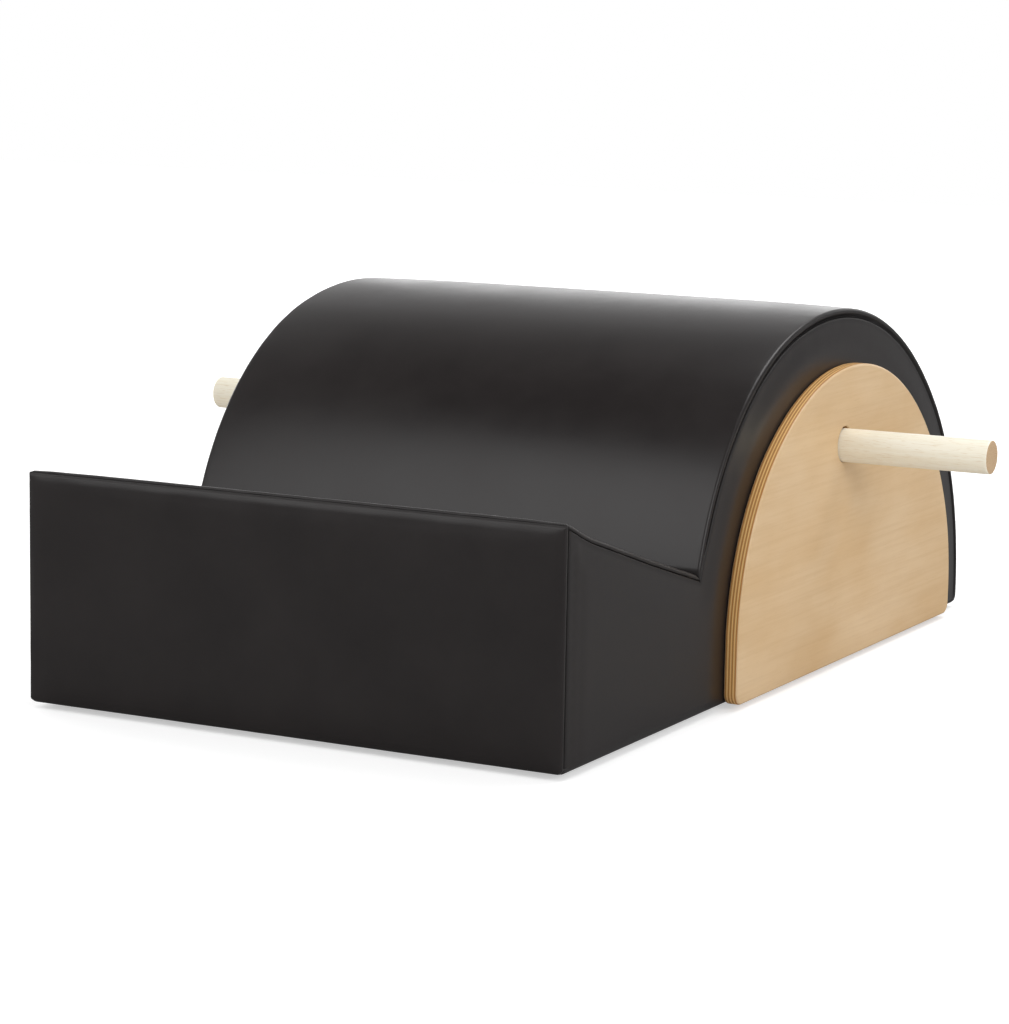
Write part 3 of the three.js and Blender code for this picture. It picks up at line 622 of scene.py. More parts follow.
def dress_pad(pad, seam, nodes):
    soften(pad, sharp_degrees=70.0)
    point_values(pad, "seam", np.concatenate([seam, seam]) / MM)
    declare(pad, "base", vinyl_material(), nodes)


def rim_points(faces, count):
    """Marks the points within a few rings of a sheet's edge."""
    edges = directed_edges(faces)
    held = np.zeros(count, dtype=bool)
    for a, b in edges:
        if (b, a) not in edges:
            held[[a, b]] = True
    pairs = np.array(sorted(edges))
    for _ in range(HELD_RINGS):
        touched = held[pairs[:, 0]] | held[pairs[:, 1]]
        held[pairs[touched].reshape(-1)] = True
    return held


def front_path(body, cover):
    """The front pad's way: under the body, up its face and over its top edge into the seam."""
    path = Path()
    face = body.front + cover.front_inset
    floor = body.bottom
    inner_y = body.front + cover.front_depth
    inner_top = body.slope(inner_y, cover.pad_depth + CLEARANCE)
    hem, roll, tuck = cover.hem_roll, cover.front_roll, cover.front_tuck
    for y in np.linspace(inner_y, face + hem, 5)[:-1]:
        path.add((y, floor), (0.0, -1.0), (inner_y, floor + CLEARANCE), crown=0.0)
    for t in quarter(6)[::-1]:
        out = np.array([-math.cos(t), -math.sin(t)])
        place = np.array([face + hem, floor + hem]) + hem * out
        path.add(place, out, (inner_y, floor + CLEARANCE + hem * (1 - math.sin(t))), crown=0.0)
    top = body.slope(body.front) + body.shape.lip_rise + cover.proud - cover.front_step
    low, high = floor + hem, top - roll
    count = int(round((high - low) / cover.cell))
    for i in range(count + 1):
        z = low + (high - low) * i / count
        thin = smooth_step(inner_top - SPARE, inner_top + SPARE, z)
        inner = inner_y + (face + cover.skin - inner_y) * float(thin)
        crown = math.sin(math.pi * (z - floor) / (top - floor)) ** 0.5
        path.add((face, z), (-1.0, 0.0), (inner, z), crown=crown)
    for t in quarter(7):
        path.add((face, high + roll * math.sin(t)), (-1.0, 0.0), (face + cover.skin + roll, high),
                 dip=roll * (1 - math.cos(t)), crown=0.0)
    for t in quarter(4):
        path.add((face, top - tuck * (1 - math.cos(t))), (-1.0, 0.0), (face + 2 * roll, high),
                 dip=roll + tuck * math.sin(t), crown=0.0)
    return path


def lip_rise(cover, behind):
    """How far the padding lifts the seat at a distance behind its front edge."""
    seat = cover.seat_proud * (1.0 - smooth_step(*SEAT_PROUD_FADE, behind))
    return float(seat + cover.lip_proud * (1.0 - smooth_step(*LIP_PROUD_FADE, behind)))


def seat_path(body, cover):
    """The seat's way: out of the front seam, over the lip and down into the crease."""
    path = Path()
    start = body.front + cover.seat_start
    roll, run = cover.seat_roll, cover.seat_run
    tuck = cover.front_tuck
    depth = cover.pad_depth

    def station(y, dip, crown=1.0, blend=0.0):
        """Adds a place on the seat, turned towards the crease's middle by a share."""
        turn_share = min(1.0, (y - start) / body.shape.lip_run)
        sine = math.sin(body.seat_angle)
        out = np.array([sine * turn_share, (1 - sine ** 2 * turn_share) / math.cos(body.seat_angle)])
        out = out * (1.0 - blend) + body.valley_out * blend
        plane = np.array([y, float(body.slope(y))])
        place = plane + np.array([0.0, float(body.lip(y)) + lip_rise(cover, y - start)])
        path.add(place, out, plane - out * depth, dip=dip, crown=crown)

    for t in quarter(4)[::-1]:
        station(start + tuck * (1 - math.cos(t)), roll + tuck * math.sin(t), crown=0.0)
    for t in [0.0] + quarter(ROLL_STEPS):
        crown = EDGE_CROWN * math.sin(t)
        station(start + run * (1 - math.cos(t)), roll * (1 - math.sin(t)), crown=crown)
    first = start + run
    last = body.valley[0] - cover.crease_reach
    count = int(round((last - first) / cover.cell))
    for i in range(1, count + 1):
        y = first + (last - first) * i / count
        full = EDGE_CROWN + (1.0 - EDGE_CROWN) * float(smooth_step(*CROWN_GROWTH, y - first))
        station(y, 0.0, crown=full - CROWN_LOSS * float(smooth_step(*CROWN_LOSS_RUN, y - first)))
    for distance, dip, blend in crease_steps(cover):
        crown = (1.0 - CROWN_LOSS) * (1.0 - dip / cover.crease_dip)
        station(body.valley[0] - distance, dip, crown=crown, blend=blend)
    return path


def crease_steps(cover):
    """Distances from the valley, dips and turns towards its middle, down into the crease."""
    steps, turn_start = [], 0.45
    for t in quarter(10):
        distance = max(cover.crease_reach * (1 - math.sin(t)), CLEARANCE / 2)
        near = 1.0 - distance / cover.crease_reach
        dip = cover.crease_dip * (1.0 - math.sqrt(max(0.0, 1.0 - near ** 2)))
        steps.append((distance, dip, float(smooth_step(turn_start, 1.0, near))))
    return steps


def barrel_path(body, cover):
    """The barrel's way: out of the crease, over the crown, down behind and under the body."""
    path = Path()
    depth = cover.pad_depth
    barrel = body.barrel
    for distance, dip, blend in reversed(crease_steps(cover)):
        angle = body.valley_angle + distance / barrel.radius(body.valley_angle)
        out = facing(angle) * (1.0 - blend) + body.valley_out * blend
        place = barrel.place(angle)[0]
        path.add(place, out, place - out * depth, dip=dip, crown=1.0 - dip / cover.crease_dip,
                 lap=float(body.lap_share(angle, cover)))
    start = body.valley_angle + cover.crease_reach / barrel.radius(body.valley_angle)
    end = body.end_angle(body.bottom + cover.barrel_hem_roll)
    count = int(round((end - start) * barrel.radius(math.pi / 2) / cover.cell))
    fade = 0.08
    for i in range(count + 1):
        angle = start + (end - start) * i / count
        out = facing(angle)
        place = barrel.place(angle)[0]
        crown = 1.0 - float(smooth_step(-fade, 0.0, angle - end))
        path.add(place, out, place - out * depth, crown=crown, lap=float(body.lap_share(angle, cover)))
    place = barrel.place(end)[0]
    inner = place - facing(end) * depth
    roll, steps, downwards = cover.barrel_hem_roll, 7, 1.5 * math.pi
    centre = place - facing(end) * roll
    for i in range(1, steps + 1):
        out = facing(end + (downwards - end) * i / steps)
        low = np.array([inner[0], max(body.bottom + CLEARANCE, inner[1] - roll * i / steps)])
        path.add(centre + roll * out, out, low, crown=0.0, lap=1.0)
    low = (inner[0] - HEM_LIFT, body.bottom + CLEARANCE)
    for y in np.linspace(centre[0], inner[0], steps)[1:]:
        path.add((y, body.bottom), (0.0, -1.0), low, crown=0.0, lap=1.0)
    return path


class SPINE_OT_front_pad(Operator):
    """Makes the upright front pad"""

    bl_idname = "spine.front_pad"
    bl_label = "Front pad"

    def execute(self, context):
        body = Body(context.scene.body_shape)
        cover = context.scene.cover_shape
        section = Section(
            half_width=body.half_width + cover.proud,
            roll=cover.front_roll,
            lap=0.0,
            tuck=cover.front_fold,
            cell=cover.cell,
            inner_half=body.half_width - FRONT_FOAM_SHORT,
            depth_share=0.22,
            fullness=4.0,
        )
        path = front_path(body, cover)
        sheets = pad_sheets(section, path, cover.front_crown, "both", 1.0)
        mitre_hem(sheets, body, cover)
        finish_pad("front_pad", sheets, ("front_cover", "front_foam"))
        return {"FINISHED"}


def mitre_hem(sheets, body, cover):
    """Draws the front pad's underside in at its ends, to leave room for the side pads' hems."""
    drawn, drawn_more, sharpness = 3.0, 4.0, 12
    for sheet in sheets[:2]:
        behind = smooth_step(cover.hem_roll, cover.front_depth, sheet[:, 1] - body.front)
        under = 1.0 - smooth_step(0.0, cover.hem_roll, sheet[:, 2] - body.bottom)
        beyond = np.clip(np.abs(sheet[:, 0]) / body.half_width, 0.0, 1.0) ** sharpness
        inward = beyond * under * (drawn + drawn_more * behind) * MM
        sheet[:, 0] -= np.sign(sheet[:, 0]) * inward


class SPINE_OT_seat_pad(Operator):
    """Makes the sloping seat pad"""

    bl_idname = "spine.seat_pad"
    bl_label = "Seat pad"

    def execute(self, context):
        body = Body(context.scene.body_shape)
        cover = context.scene.cover_shape
        section = top_section(body, cover, 10.0)
        sheets = pad_sheets(section, seat_path(body, cover), cover.seat_crown, "both", 2.0)
        finish_pad("seat_pad", sheets, ("seat_cover", "seat_foam"))
        return {"FINISHED"}


def top_section(body, cover, fullness):
    """Section of the seat and of the barrel."""
    return Section(
        half_width=body.half_width,
        roll=cover.edge_roll,
        lap=cover.edge_lap,
        tuck=cover.seam_roll,
        cell=cover.cell,
        inner_half=body.half_width - TOP_FOAM_SHORT,
        depth_share=0.3,
        fullness=fullness,
    )


class SPINE_OT_barrel_pad(Operator):
    """Makes the barrel pad"""

    bl_idname = "spine.barrel_pad"
    bl_label = "Barrel pad"

    def execute(self, context):
        body = Body(context.scene.body_shape)
        cover = context.scene.cover_shape
        section = top_section(body, cover, 5.0)
        sheets = pad_sheets(section, barrel_path(body, cover), cover.barrel_crown, "start", 5.0)
        finish_pad("barrel_pad", sheets, ("barrel_cover", "barrel_foam"))
        return {"FINISHED"}


def spaced(low, high, count):
    """Evenly spaced numbers from one to the other, count steps apart."""
    return np.linspace(low, high, count + 1)


def side_outline(body, cover, inset):
    """Outline of a side cover at an inset from its seams, from the front's foot to the back's."""
    depth = cover.side_seam_depth + inset
    front = body.front + cover.side_seam_front + inset
    low = body.bottom + cover.hem_roll
    cell = cover.cell * 0.8

    def seat_height(y):
        """Height of the outline under the seat."""
        return float(body.slope(y, depth)) + float(body.lip(y)) + lip_rise(cover, y - front)

    valley = body.valley_at(depth)
    upright = int(round(body.shape.lip_height / cell))
    rises = [(front, z) for z in spaced(low, seat_height(front), upright)]
    run = int(round((body.valley[0] - body.front) / cell))
    seat = [(y, seat_height(y)) for y in spaced(front, float(valley[0]), run)]
    centre, _ = body.barrel.front
    start = math.atan2(valley[1] - centre[1], centre[0] - valley[0])
    end = body.end_angle(low, depth + cover.side_gap)
    round_steps = int(round(0.9 * math.pi * body.shape.top_radius / cell))
    angles = spaced(start, end, round_steps)
    arch = body.barrel.place(angles, depth + cover.side_gap * body.lap_share(angles, cover))
    return np.array(rises[:-1] + seat[:-1] + [tuple(p) for p in arch])


def inside(points, loop):
    """Which points lie inside a closed loop."""
    result = np.zeros(len(points), dtype=bool)
    for (ay, az), (by, bz) in zip(loop, np.roll(loop, -1, axis=0)):
        crosses = (az > points[:, 1]) != (bz > points[:, 1])
        rise = np.where(crosses, bz - az, 1.0)
        at = ay + (points[:, 1] - az) * (by - ay) / rise
        result ^= crosses & (points[:, 0] < at)
    return result


def distance_to(points, line, closed=False):
    """Shortest distance of each point from a line of points."""
    line = np.asarray(line)
    starts = line if closed else line[:-1]
    ends = np.roll(line, -1, axis=0) if closed else line[1:]
    best = np.full(len(points), np.inf)
    for a, b in zip(starts, ends):
        along = b - a
        t = np.clip(((points - a) @ along) / max(float(along @ along), 1e-18), 0.0, 1.0)
        best = np.minimum(best, np.linalg.norm(points - (a + t[:, None] * along), axis=1))
    return best


def filled(loops, cell):
    """Triangles over the area inside the first loop and outside the others, and their points."""
    loops = [np.asarray(loop, dtype=float) for loop in loops]
    low, high = loops[0].min(axis=0), loops[0].max(axis=0)
    y, z = np.meshgrid(np.arange(low[0], high[0], cell), np.arange(low[1], high[1], cell))
    y = y + (np.arange(len(y)) % 2)[:, None] * cell / 2
    free = np.column_stack([y.ravel(), z.ravel()])
    free = free[within(free, loops)]
    near = np.min([distance_to(free, loop, closed=True) for loop in loops], axis=0)
    room = cell * 0.6
    points = np.vstack(loops + [free[near > room]])
    edges, start = [], 0
    for loop in loops:
        edges += [(start + i, start + (i + 1) % len(loop)) for i in range(len(loop))]
        start += len(loop)
    corners = [Vector(point) for point in points]
    made, _, faces, origin, _, _ = geometry.delaunay_2d_cdt(corners, edges, [], 0, 1e-7)
    if len(made) != len(points):
        raise RuntimeError("an outline crosses itself or holds a point twice")
    order = [source[0] for source in origin]
    faces = np.array([[order[i] for i in face] for face in faces])
    a, b, c = (points[faces[:, k]] for k in range(3))
    area = (b - a)[:, 0] * (c - a)[:, 1] - (b - a)[:, 1] * (c - a)[:, 0]
    faces[area < 0.0] = faces[area < 0.0][:, ::-1]
    faces = faces[within((a + b + c) / 3.0, loops)]
    return points, [tuple(int(i) for i in face) for face in faces]


def within(points, loops):
    """Which points lie inside the first loop and outside the others."""
    keep = inside(points, loops[0])
    for loop in loops[1:]:
        keep &= ~inside(points, loop)
    return keep


def pole_place():
    """Middle of the pole in the side outline."""
    low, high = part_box("pole")
    return np.array([(low.y + high.y) / 2, (low.z + high.z) / 2])


def ring_of(centre, radius, steps):
    """Points round a centre."""
    angles = 2 * math.pi * np.arange(steps) / steps
    return np.asarray(centre) + radius * np.column_stack([np.cos(angles), np.sin(angles)])


def bulge_of(points, body, cover, birch):
    """How far a side cover stands out at each point, free of its seams and of the birch panel."""
    seam = distance_to(points, side_outline(body, cover, 0.0))
    panel = distance_to(points, birch.outline(0.0), closed=True)
    panel[inside(points, birch.outline(0.0))] = 0.0
    crown_run, ridge_width, gather_start = 0.030, 0.0022, 0.004
    rise = cover.side_crown * smooth_step(0.0, crown_run, np.minimum(seam, panel))
    front = points[:, 0] - body.front - cover.side_seam_front
    behind = np.exp(-((front - cover.allowance) / ridge_width) ** 2)
    rise = rise + cover.allowance_ridge * behind
    near = np.exp(-seam / cover.pucker_reach) * smooth_step(0.0, gather_start, seam)
    rough = [noise.noise(Vector((y / GATHER_WAVE, z / GATHER_WAVE, SIDE_SEED))) for y, z in points]
    return rise - cover.pucker * near * np.array(rough)


def side_sheets(body, cover, birch):
    """Outer and inner sheets of the right side pad, their faces, the points held still and the
    distance from the seam."""
    tuck = cover.seam_roll
    insets, drops = zip(*rounding(tuck, TUCK_STEPS), (tuck + SHOULDER, 0.0))
    rings = [side_outline(body, cover, inset) for inset in insets]
    along = len(rings[0])
    last = len(rings) - 1
    low = body.bottom + cover.hem_roll
    sweep = spaced(rings[-1][-1][0], rings[-1][0][0], 150)[1:-1]
    loop = np.vstack([rings[-1], [(y, low) for y in sweep]])
    hole = ring_of(pole_place(), birch.shape.hole_radius + SPARE, 40)
    flat, flat_faces = filled([loop, hole], cover.cell * 1.2)

    places = np.vstack(rings[:-1] + [flat])
    x = np.concatenate([np.full(along, -drop) for drop in drops[:-1]] + [np.zeros(len(flat))])
    faces = reversed_faces(grid_faces(last + 1, along)) + shifted_faces(flat_faces, last * along)

    seam = distance_to(places, rings[0])
    behind = 1.0 - smooth_step(0.0, FOAM_RUN, seam + tuck + SPARE - cover.pad_depth)
    front = 1.0 - smooth_step(0.0, FOAM_RUN, places[:, 0] - body.front - cover.front_depth)
    thin = np.maximum(behind, front)
    thick = cover.side_depth + (cover.skin - cover.side_depth) * thin
    bulge = bulge_of(places, body, cover, birch) * smooth_step(tuck, 2.0 * tuck + SHOULDER, seam)
    outer = np.column_stack([body.half_width + x + bulge, places])
    inner = np.column_stack([body.half_width + x - np.maximum(thick, THINNEST), places])
    in_panel = inside(places, birch.outline(-HELD_ROUND_PANEL))
    held = in_panel | (seam < HELD_AT_SEAM) | (places[:, 1] < low + SPARE)

    row = [ring * along + along - 1 for ring in range(last)]
    row += [last * along + i for i in range(along - 1, len(loop))]
    row += [last * along] + [ring * along for ring in range(last)][::-1]
    hem_outer, hem_inner = hem_rows(body, cover, outer[row], x[row])
    count = len(row)
    ids = row + list(range(len(outer), len(outer) + len(hem_outer)))
    for face in grid_faces(len(hem_outer) // count + 1, count):
        faces.append(tuple(ids[i] for i in face))
    outer = np.vstack([outer, hem_outer])
    inner = np.vstack([inner, hem_inner])
    held = np.concatenate([held, np.ones(len(hem_outer), dtype=bool)])
    seam = np.concatenate([seam, np.full(len(hem_outer), HEM_SEAM)])
    return outer, inner, faces, held, seam


def hem_rows(body, cover, row, drop):
    """Rows that turn a side cover's lowest row under the body, and their inner places."""
    roll, skin = cover.hem_roll, cover.skin
    radius = roll + drop
    front = body.front + cover.front_depth + SPARE
    drawn_in = cover.side_seam_depth + cover.side_gap
    back = row[:, 1].max() + drawn_in - cover.pad_depth - HEM_GAP
    outer, inner = [], []
    for t in quarter(5):
        for rows, lift in ((outer, 0.0), (inner, skin)):
            reach = np.maximum(radius - lift, CLEARANCE)
            x = body.half_width - roll + reach * math.cos(t)
            z = body.bottom + roll - reach * math.sin(t)
            rows.append(np.column_stack([x, row[:, 1], z]))
    for across in HEM_ROWS:
        drawn = float(smooth_step(0.0, HEM_DRAW, across))
        y = row[:, 1] + (np.clip(row[:, 1], front, back) - row[:, 1]) * drawn
        x = np.full(len(y), body.half_width - roll - across * MM)
        lift = -drop * (1.0 - drawn)
        outer.append(np.column_stack([x, y, body.bottom + lift]))
        inner.append(np.column_stack([x, y, np.full(len(y), body.bottom + skin + HEM_LIFT)]))
    return np.vstack(outer), np.vstack(inner)


class Birch:
    """Outline of a birch panel, placed by the frame's solids."""

    def __init__(self, shape, body):
        low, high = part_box("side_panel_right")
        self.shape = shape
        self.bottom = low.z
        self.inner, self.outer = low.x, high.x
        radii = (shape.shoulder_radius, shape.top_radius, shape.shoulder_radius)
        turns = (shape.front_turn, shape.back_turn)
        self.arch = Arch(body.barrel.top[0][0] + shape.setback, high.z, radii, turns)

    def outline(self, inset, steps=180):
        """Closed outline at an inset, clockwise from the front's foot."""
        corner = self.shape.corner_radius

        def side_angle(arc):
            """Angle from level at which a shoulder runs into the bottom corner."""
            (_, z), radius = arc
            return math.asin(max(0.0, self.bottom + corner - z) / radius)

        first = side_angle(self.arch.front)
        last = math.pi - side_angle(self.arch.back)
        arch = self.arch.place(spaced(first, last, steps), inset)
        corners = {}
        for side, edge in (("front", arch[0]), ("back", arch[-1])):
            sign = 1 if side == "front" else -1
            centre = np.array([edge[0] + sign * (corner - inset), self.bottom + corner])
            corners[side] = [
                centre + (corner - inset) * np.array([-sign * math.cos(t), -math.sin(t)])
                for t in [0.0] + quarter(8)
            ]
        points = corners["front"][::-1] + list(arch) + corners["back"]
        same = 1e-6
        gaps = [True] + [np.linalg.norm(b - a) > same for a, b in zip(points, points[1:])]
        return np.array([point for point, apart in zip(points, gaps) if apart])


class SPINE_OT_side_pads(Operator):
    """Makes the thin upholstered side walls"""

    bl_idname = "spine.side_pads"
    bl_label = "Side pads"

    def execute(self, context):
        scene = context.scene
        body = Body(scene.body_shape)
        birch = Birch(scene.birch_shape, body)
        outer, inner, faces, held, seam = side_sheets(body, scene.cover_shape, birch)
        outer = pushed_out(outer, faces, held)
        for side, pad in both_sides("side_pad", *closed_shell(outer, inner, faces)):
            dress_pad(pad, seam, (f"side_cover_{side}", f"side_foam_{side}"))
        return {"FINISHED"}


class SPINE_OT_birch_panels(Operator):
    """Makes the two birch plywood side panels"""

    bl_idname = "spine.birch_panels"
    bl_label = "Birch panels"

    def execute(self, context):
        scene = context.scene
        shape = scene.birch_shape
        birch = Birch(shape, Body(scene.body_shape))
        rest = shape.hole_radius - pole_radius() - CLEARANCE
        centre = pole_place() + np.array([0.0, rest])
        levels = [(birch.inner + x, inset) for x, inset in rounding(shape.edge_round, 5)]
        levels += [(birch.outer - x + birch.inner, inset) for x, inset in levels[::-1]]
        chamfer = shape.hole_chamfer
        bores = [
            (birch.inner, shape.hole_radius + chamfer),
            (birch.inner + chamfer, shape.hole_radius),
            (birch.outer - chamfer, shape.hole_radius),
            (birch.outer, shape.hole_radius + chamfer),
        ]
        for side, panel in both_sides("birch_panel", *panel_mesh(birch, levels, bores, centre)):
            soften(panel, sharp_degrees=40.0)
            material = birch_material(shape, birch)
            declare(panel, "base", material, (f"side_panel_{side}",))
        return {"FINISHED"}


def pole_radius():
    """Radius of the pole."""
    low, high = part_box("pole")
    return (high.y - low.y) / 2


def panel_mesh(birch, levels, bores, centre):
    """A right-hand panel: rounded rim, bored hole and two flat faces."""
    rims = [birch.outline(inset) for _, inset in levels]
    around = len(rims[0])
    vertices = [np.column_stack([np.full(around, x), rim]) for (x, _), rim in zip(levels, rims)]
    faces = grid_faces(len(levels), around, ring=True)
    steps, cell = 48, 18 * MM
    start = len(levels) * around
    for x, radius in bores:
        vertices.append(np.column_stack([np.full(steps, x), ring_of(centre, radius, steps)]))
    faces += shifted_faces(grid_faces(len(bores), steps, ring=True), start)
    total = start + len(bores) * steps
    for level, bore, outward in ((0, 0, False), (len(levels) - 1, len(bores) - 1, True)):
        x, radius = bores[bore]
        points, flat = filled([rims[level], ring_of(centre, radius, steps)], cell)
        shared = [level * around + i for i in range(around)]
        shared += [start + bore * steps + i for i in range(steps)]
        extra = len(points) - len(shared)
        ids = shared + [total + i for i in range(extra)]
        vertices.append(np.column_stack([np.full(extra, x), points[len(shared):]]))
        total += extra
        for face in flat:
            face = face if outward else face[::-1]
            faces.append(tuple(ids[i] for i in face))
    return np.vstack(vertices), faces


def turned_faces(profile_count, steps):
    """Faces of a turned shape whose first and last rings are single points."""
    faces = []
    rings = profile_count - 2

    def ring(i, j):
        """Number of a point on a ring."""
        return 1 + i * steps + j % steps

    for j in range(steps):
        faces.append((0, ring(0, j + 1), ring(0, j)))
        faces.append((1 + rings * steps, ring(rings - 1, j), ring(rings - 1, j + 1)))
    for i in range(rings - 1):
        for j in range(steps):
            faces.append((ring(i, j), ring(i, j + 1), ring(i + 1, j + 1), ring(i + 1, j)))
    return faces


def turned(profile, steps, axis="Z"):
    """Points and faces of a shape turned about an axis, from a profile of (along, radius)."""
    points = []
    for along, radius in profile:
        for j in range(steps if radius > 0.0 else 1):
            a = 2 * math.pi * j / steps
            across = (radius * math.cos(a), radius * math.sin(a))
            points.append((along, *across) if axis == "X" else (*across, along))
    return np.array(points), turned_faces(len(profile), steps)


class SPINE_OT_pole(Operator):
    """Makes the wooden pole"""

    bl_idname = "spine.pole"
    bl_label = "Pole"

    def execute(self, context):
        shape = context.scene.pole_shape
        low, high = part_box("pole")
        radius, chamfer = pole_radius(), shape.chamfer
        half = (high.x - low.x) / 2
        start = [(-half, part * (radius - chamfer)) for part in (0.0, 0.25, 0.5, 0.75)]
        start += [(-half + x, radius - inset) for x, inset in rounding(chamfer, 4)]
        sections = 60
        middle = [(x, radius) for x in spaced(-half + 2 * chamfer, half - 2 * chamfer, sections)]
        profile = start + middle + [(-x, r) for x, r in start[::-1]]
        points, faces = turned(profile, shape.sides, axis="X")
        y, z = pole_place()
        pole = new_object("pole_dowel", points + np.array([0.0, y, z]), faces)
        soften(pole, sharp_degrees=30.0)
        ends = pole.data.attributes.new("end_grain", "FLOAT", "FACE")
        faces_out = [abs(polygon.normal.x) > 0.8 for polygon in pole.data.polygons]
        ends.data.foreach_set("value", [float(out) for out in faces_out])
        declare(pole, "pole", pole_material(shape, y, z), ("pole",))
        return {"FINISHED"}


def repeat_tree(name, along_path):
    """Geometry Nodes that put a shape on every point of a mesh, or at a pitch along its edges."""
    tree = bpy.data.node_groups.new(name, "GeometryNodeTree")
    kinds = {"Geometry": "Geometry", "Shape": "Object", "Pitch": "Float", "Finish": "Material"}
    sockets = {}
    for label, kind in kinds.items():
        made = tree.interface.new_socket(name=label, in_out="INPUT", socket_type=f"NodeSocket{kind}")
        sockets[label] = made.identifier
    tree.interface.new_socket(name="Result", in_out="OUTPUT", socket_type="NodeSocketGeometry")
    graph = Graph(tree)
    start = graph.node("NodeGroupInput").outputs
    shape = graph.node("GeometryNodeObjectInfo", inputs={"Object": start["Shape"]})
    layout = {"Points": start["Geometry"], "Instance": shape.outputs["Geometry"]}
    if along_path:
        curve = graph.node("GeometryNodeMeshToCurve", inputs={"Mesh": start["Geometry"]})
        even = graph.node("GeometryNodeResampleCurve", mode="LENGTH", inputs={
            "Curve": curve.outputs["Curve"], "Length": start["Pitch"],
        })
        tangent = graph.node("GeometryNodeInputTangent").outputs["Tangent"]
        aim = graph.node("FunctionNodeAlignRotationToVector", axis="X", inputs={"Vector": tangent})
        layout.update(Points=even.outputs["Curve"], Rotation=aim.outputs["Rotation"])
    place = graph.node("GeometryNodeInstanceOnPoints", inputs=layout)
    real = graph.node("GeometryNodeRealizeInstances", inputs={"Geometry": place.outputs["Instances"]})
    finish = graph.node("GeometryNodeSetMaterial", inputs={
        "Geometry": real.outputs["Geometry"], "Material": start["Finish"],
    })
    graph.node("NodeGroupOutput", inputs={"Result": finish.outputs["Geometry"]})
    return tree, sockets


def repeated(name, base, shape, material, pitch=None):
    """One mesh with a shape repeated on base's points, or at a pitch along base's edges."""
    tree, sockets = repeat_tree(f"{name}_layout", pitch is not None)
    modifier = base.modifiers.new("Layout", "NODES")
    modifier.node_group = tree
    modifier[sockets["Shape"]] = shape
    modifier[sockets["Finish"]] = material
    if pitch is not None:
        modifier[sockets["Pitch"]] = pitch
    base.update_tag()
    graph = bpy.context.evaluated_depsgraph_get()
    mesh = bpy.data.meshes.new_from_object(base.evaluated_get(graph), depsgraph=graph)
    base.modifiers.remove(modifier)
    bpy.data.objects.remove(base)
    bpy.data.objects.remove(shape)
    return linked(name, mesh)


def polyline(name, lines):
    """A mesh of open lines of points."""
    vertices, edges = [], []
    for line in lines:
        start = len(vertices)
        vertices += line
        edges += [(start + i, start + i + 1) for i in range(len(line) - 1)]
    return new_object(name, vertices, [], edges)


class SPINE_OT_stitches(Operator):
    """Sews the covers together along their seams"""

    bl_idname = "spine.stitches"
    bl_label = "Stitches"

    def execute(self, context):
        body = Body(context.scene.body_shape)
        cover = context.scene.cover_shape
        deep, outside, ahead, below = 1.7 * MM, 1.0 * MM, 0.4 * MM, 0.3 * MM
        edge = body.half_width - deep
        line = side_outline(body, cover, -outside)
        lines = [[(sign * edge, y, z) for y, z in line] for sign in SIDES.values()]
        y = body.front + cover.seat_start - ahead
        top = body.slope(y) + body.lip(y) - cover.seat_roll
        across = body.half_width - 2.0 * cover.edge_roll
        lines.append([(x, y, top - below) for x in spaced(-across, across, 40)])
        half_length, steps = 0.42 * cover.stitch_pitch, 6
        profile = [(-half_length, 0.0)]
        for i in range(1, steps):
            t = math.pi * i / steps
            profile.append((-half_length * math.cos(t), cover.stitch_radius * math.sin(t)))
        profile.append((half_length, 0.0))
        points, faces = turned(profile, 7, axis="X")
        stitch = new_object("stitch_shape", points, faces)
        soften(stitch)
        path = polyline("stitch_lines", lines)
        stitches = repeated("seam_stitches", path, stitch, thread_material(), cover.stitch_pitch)
        declare(stitches, "base", thread_material())
        return {"FINISHED"}


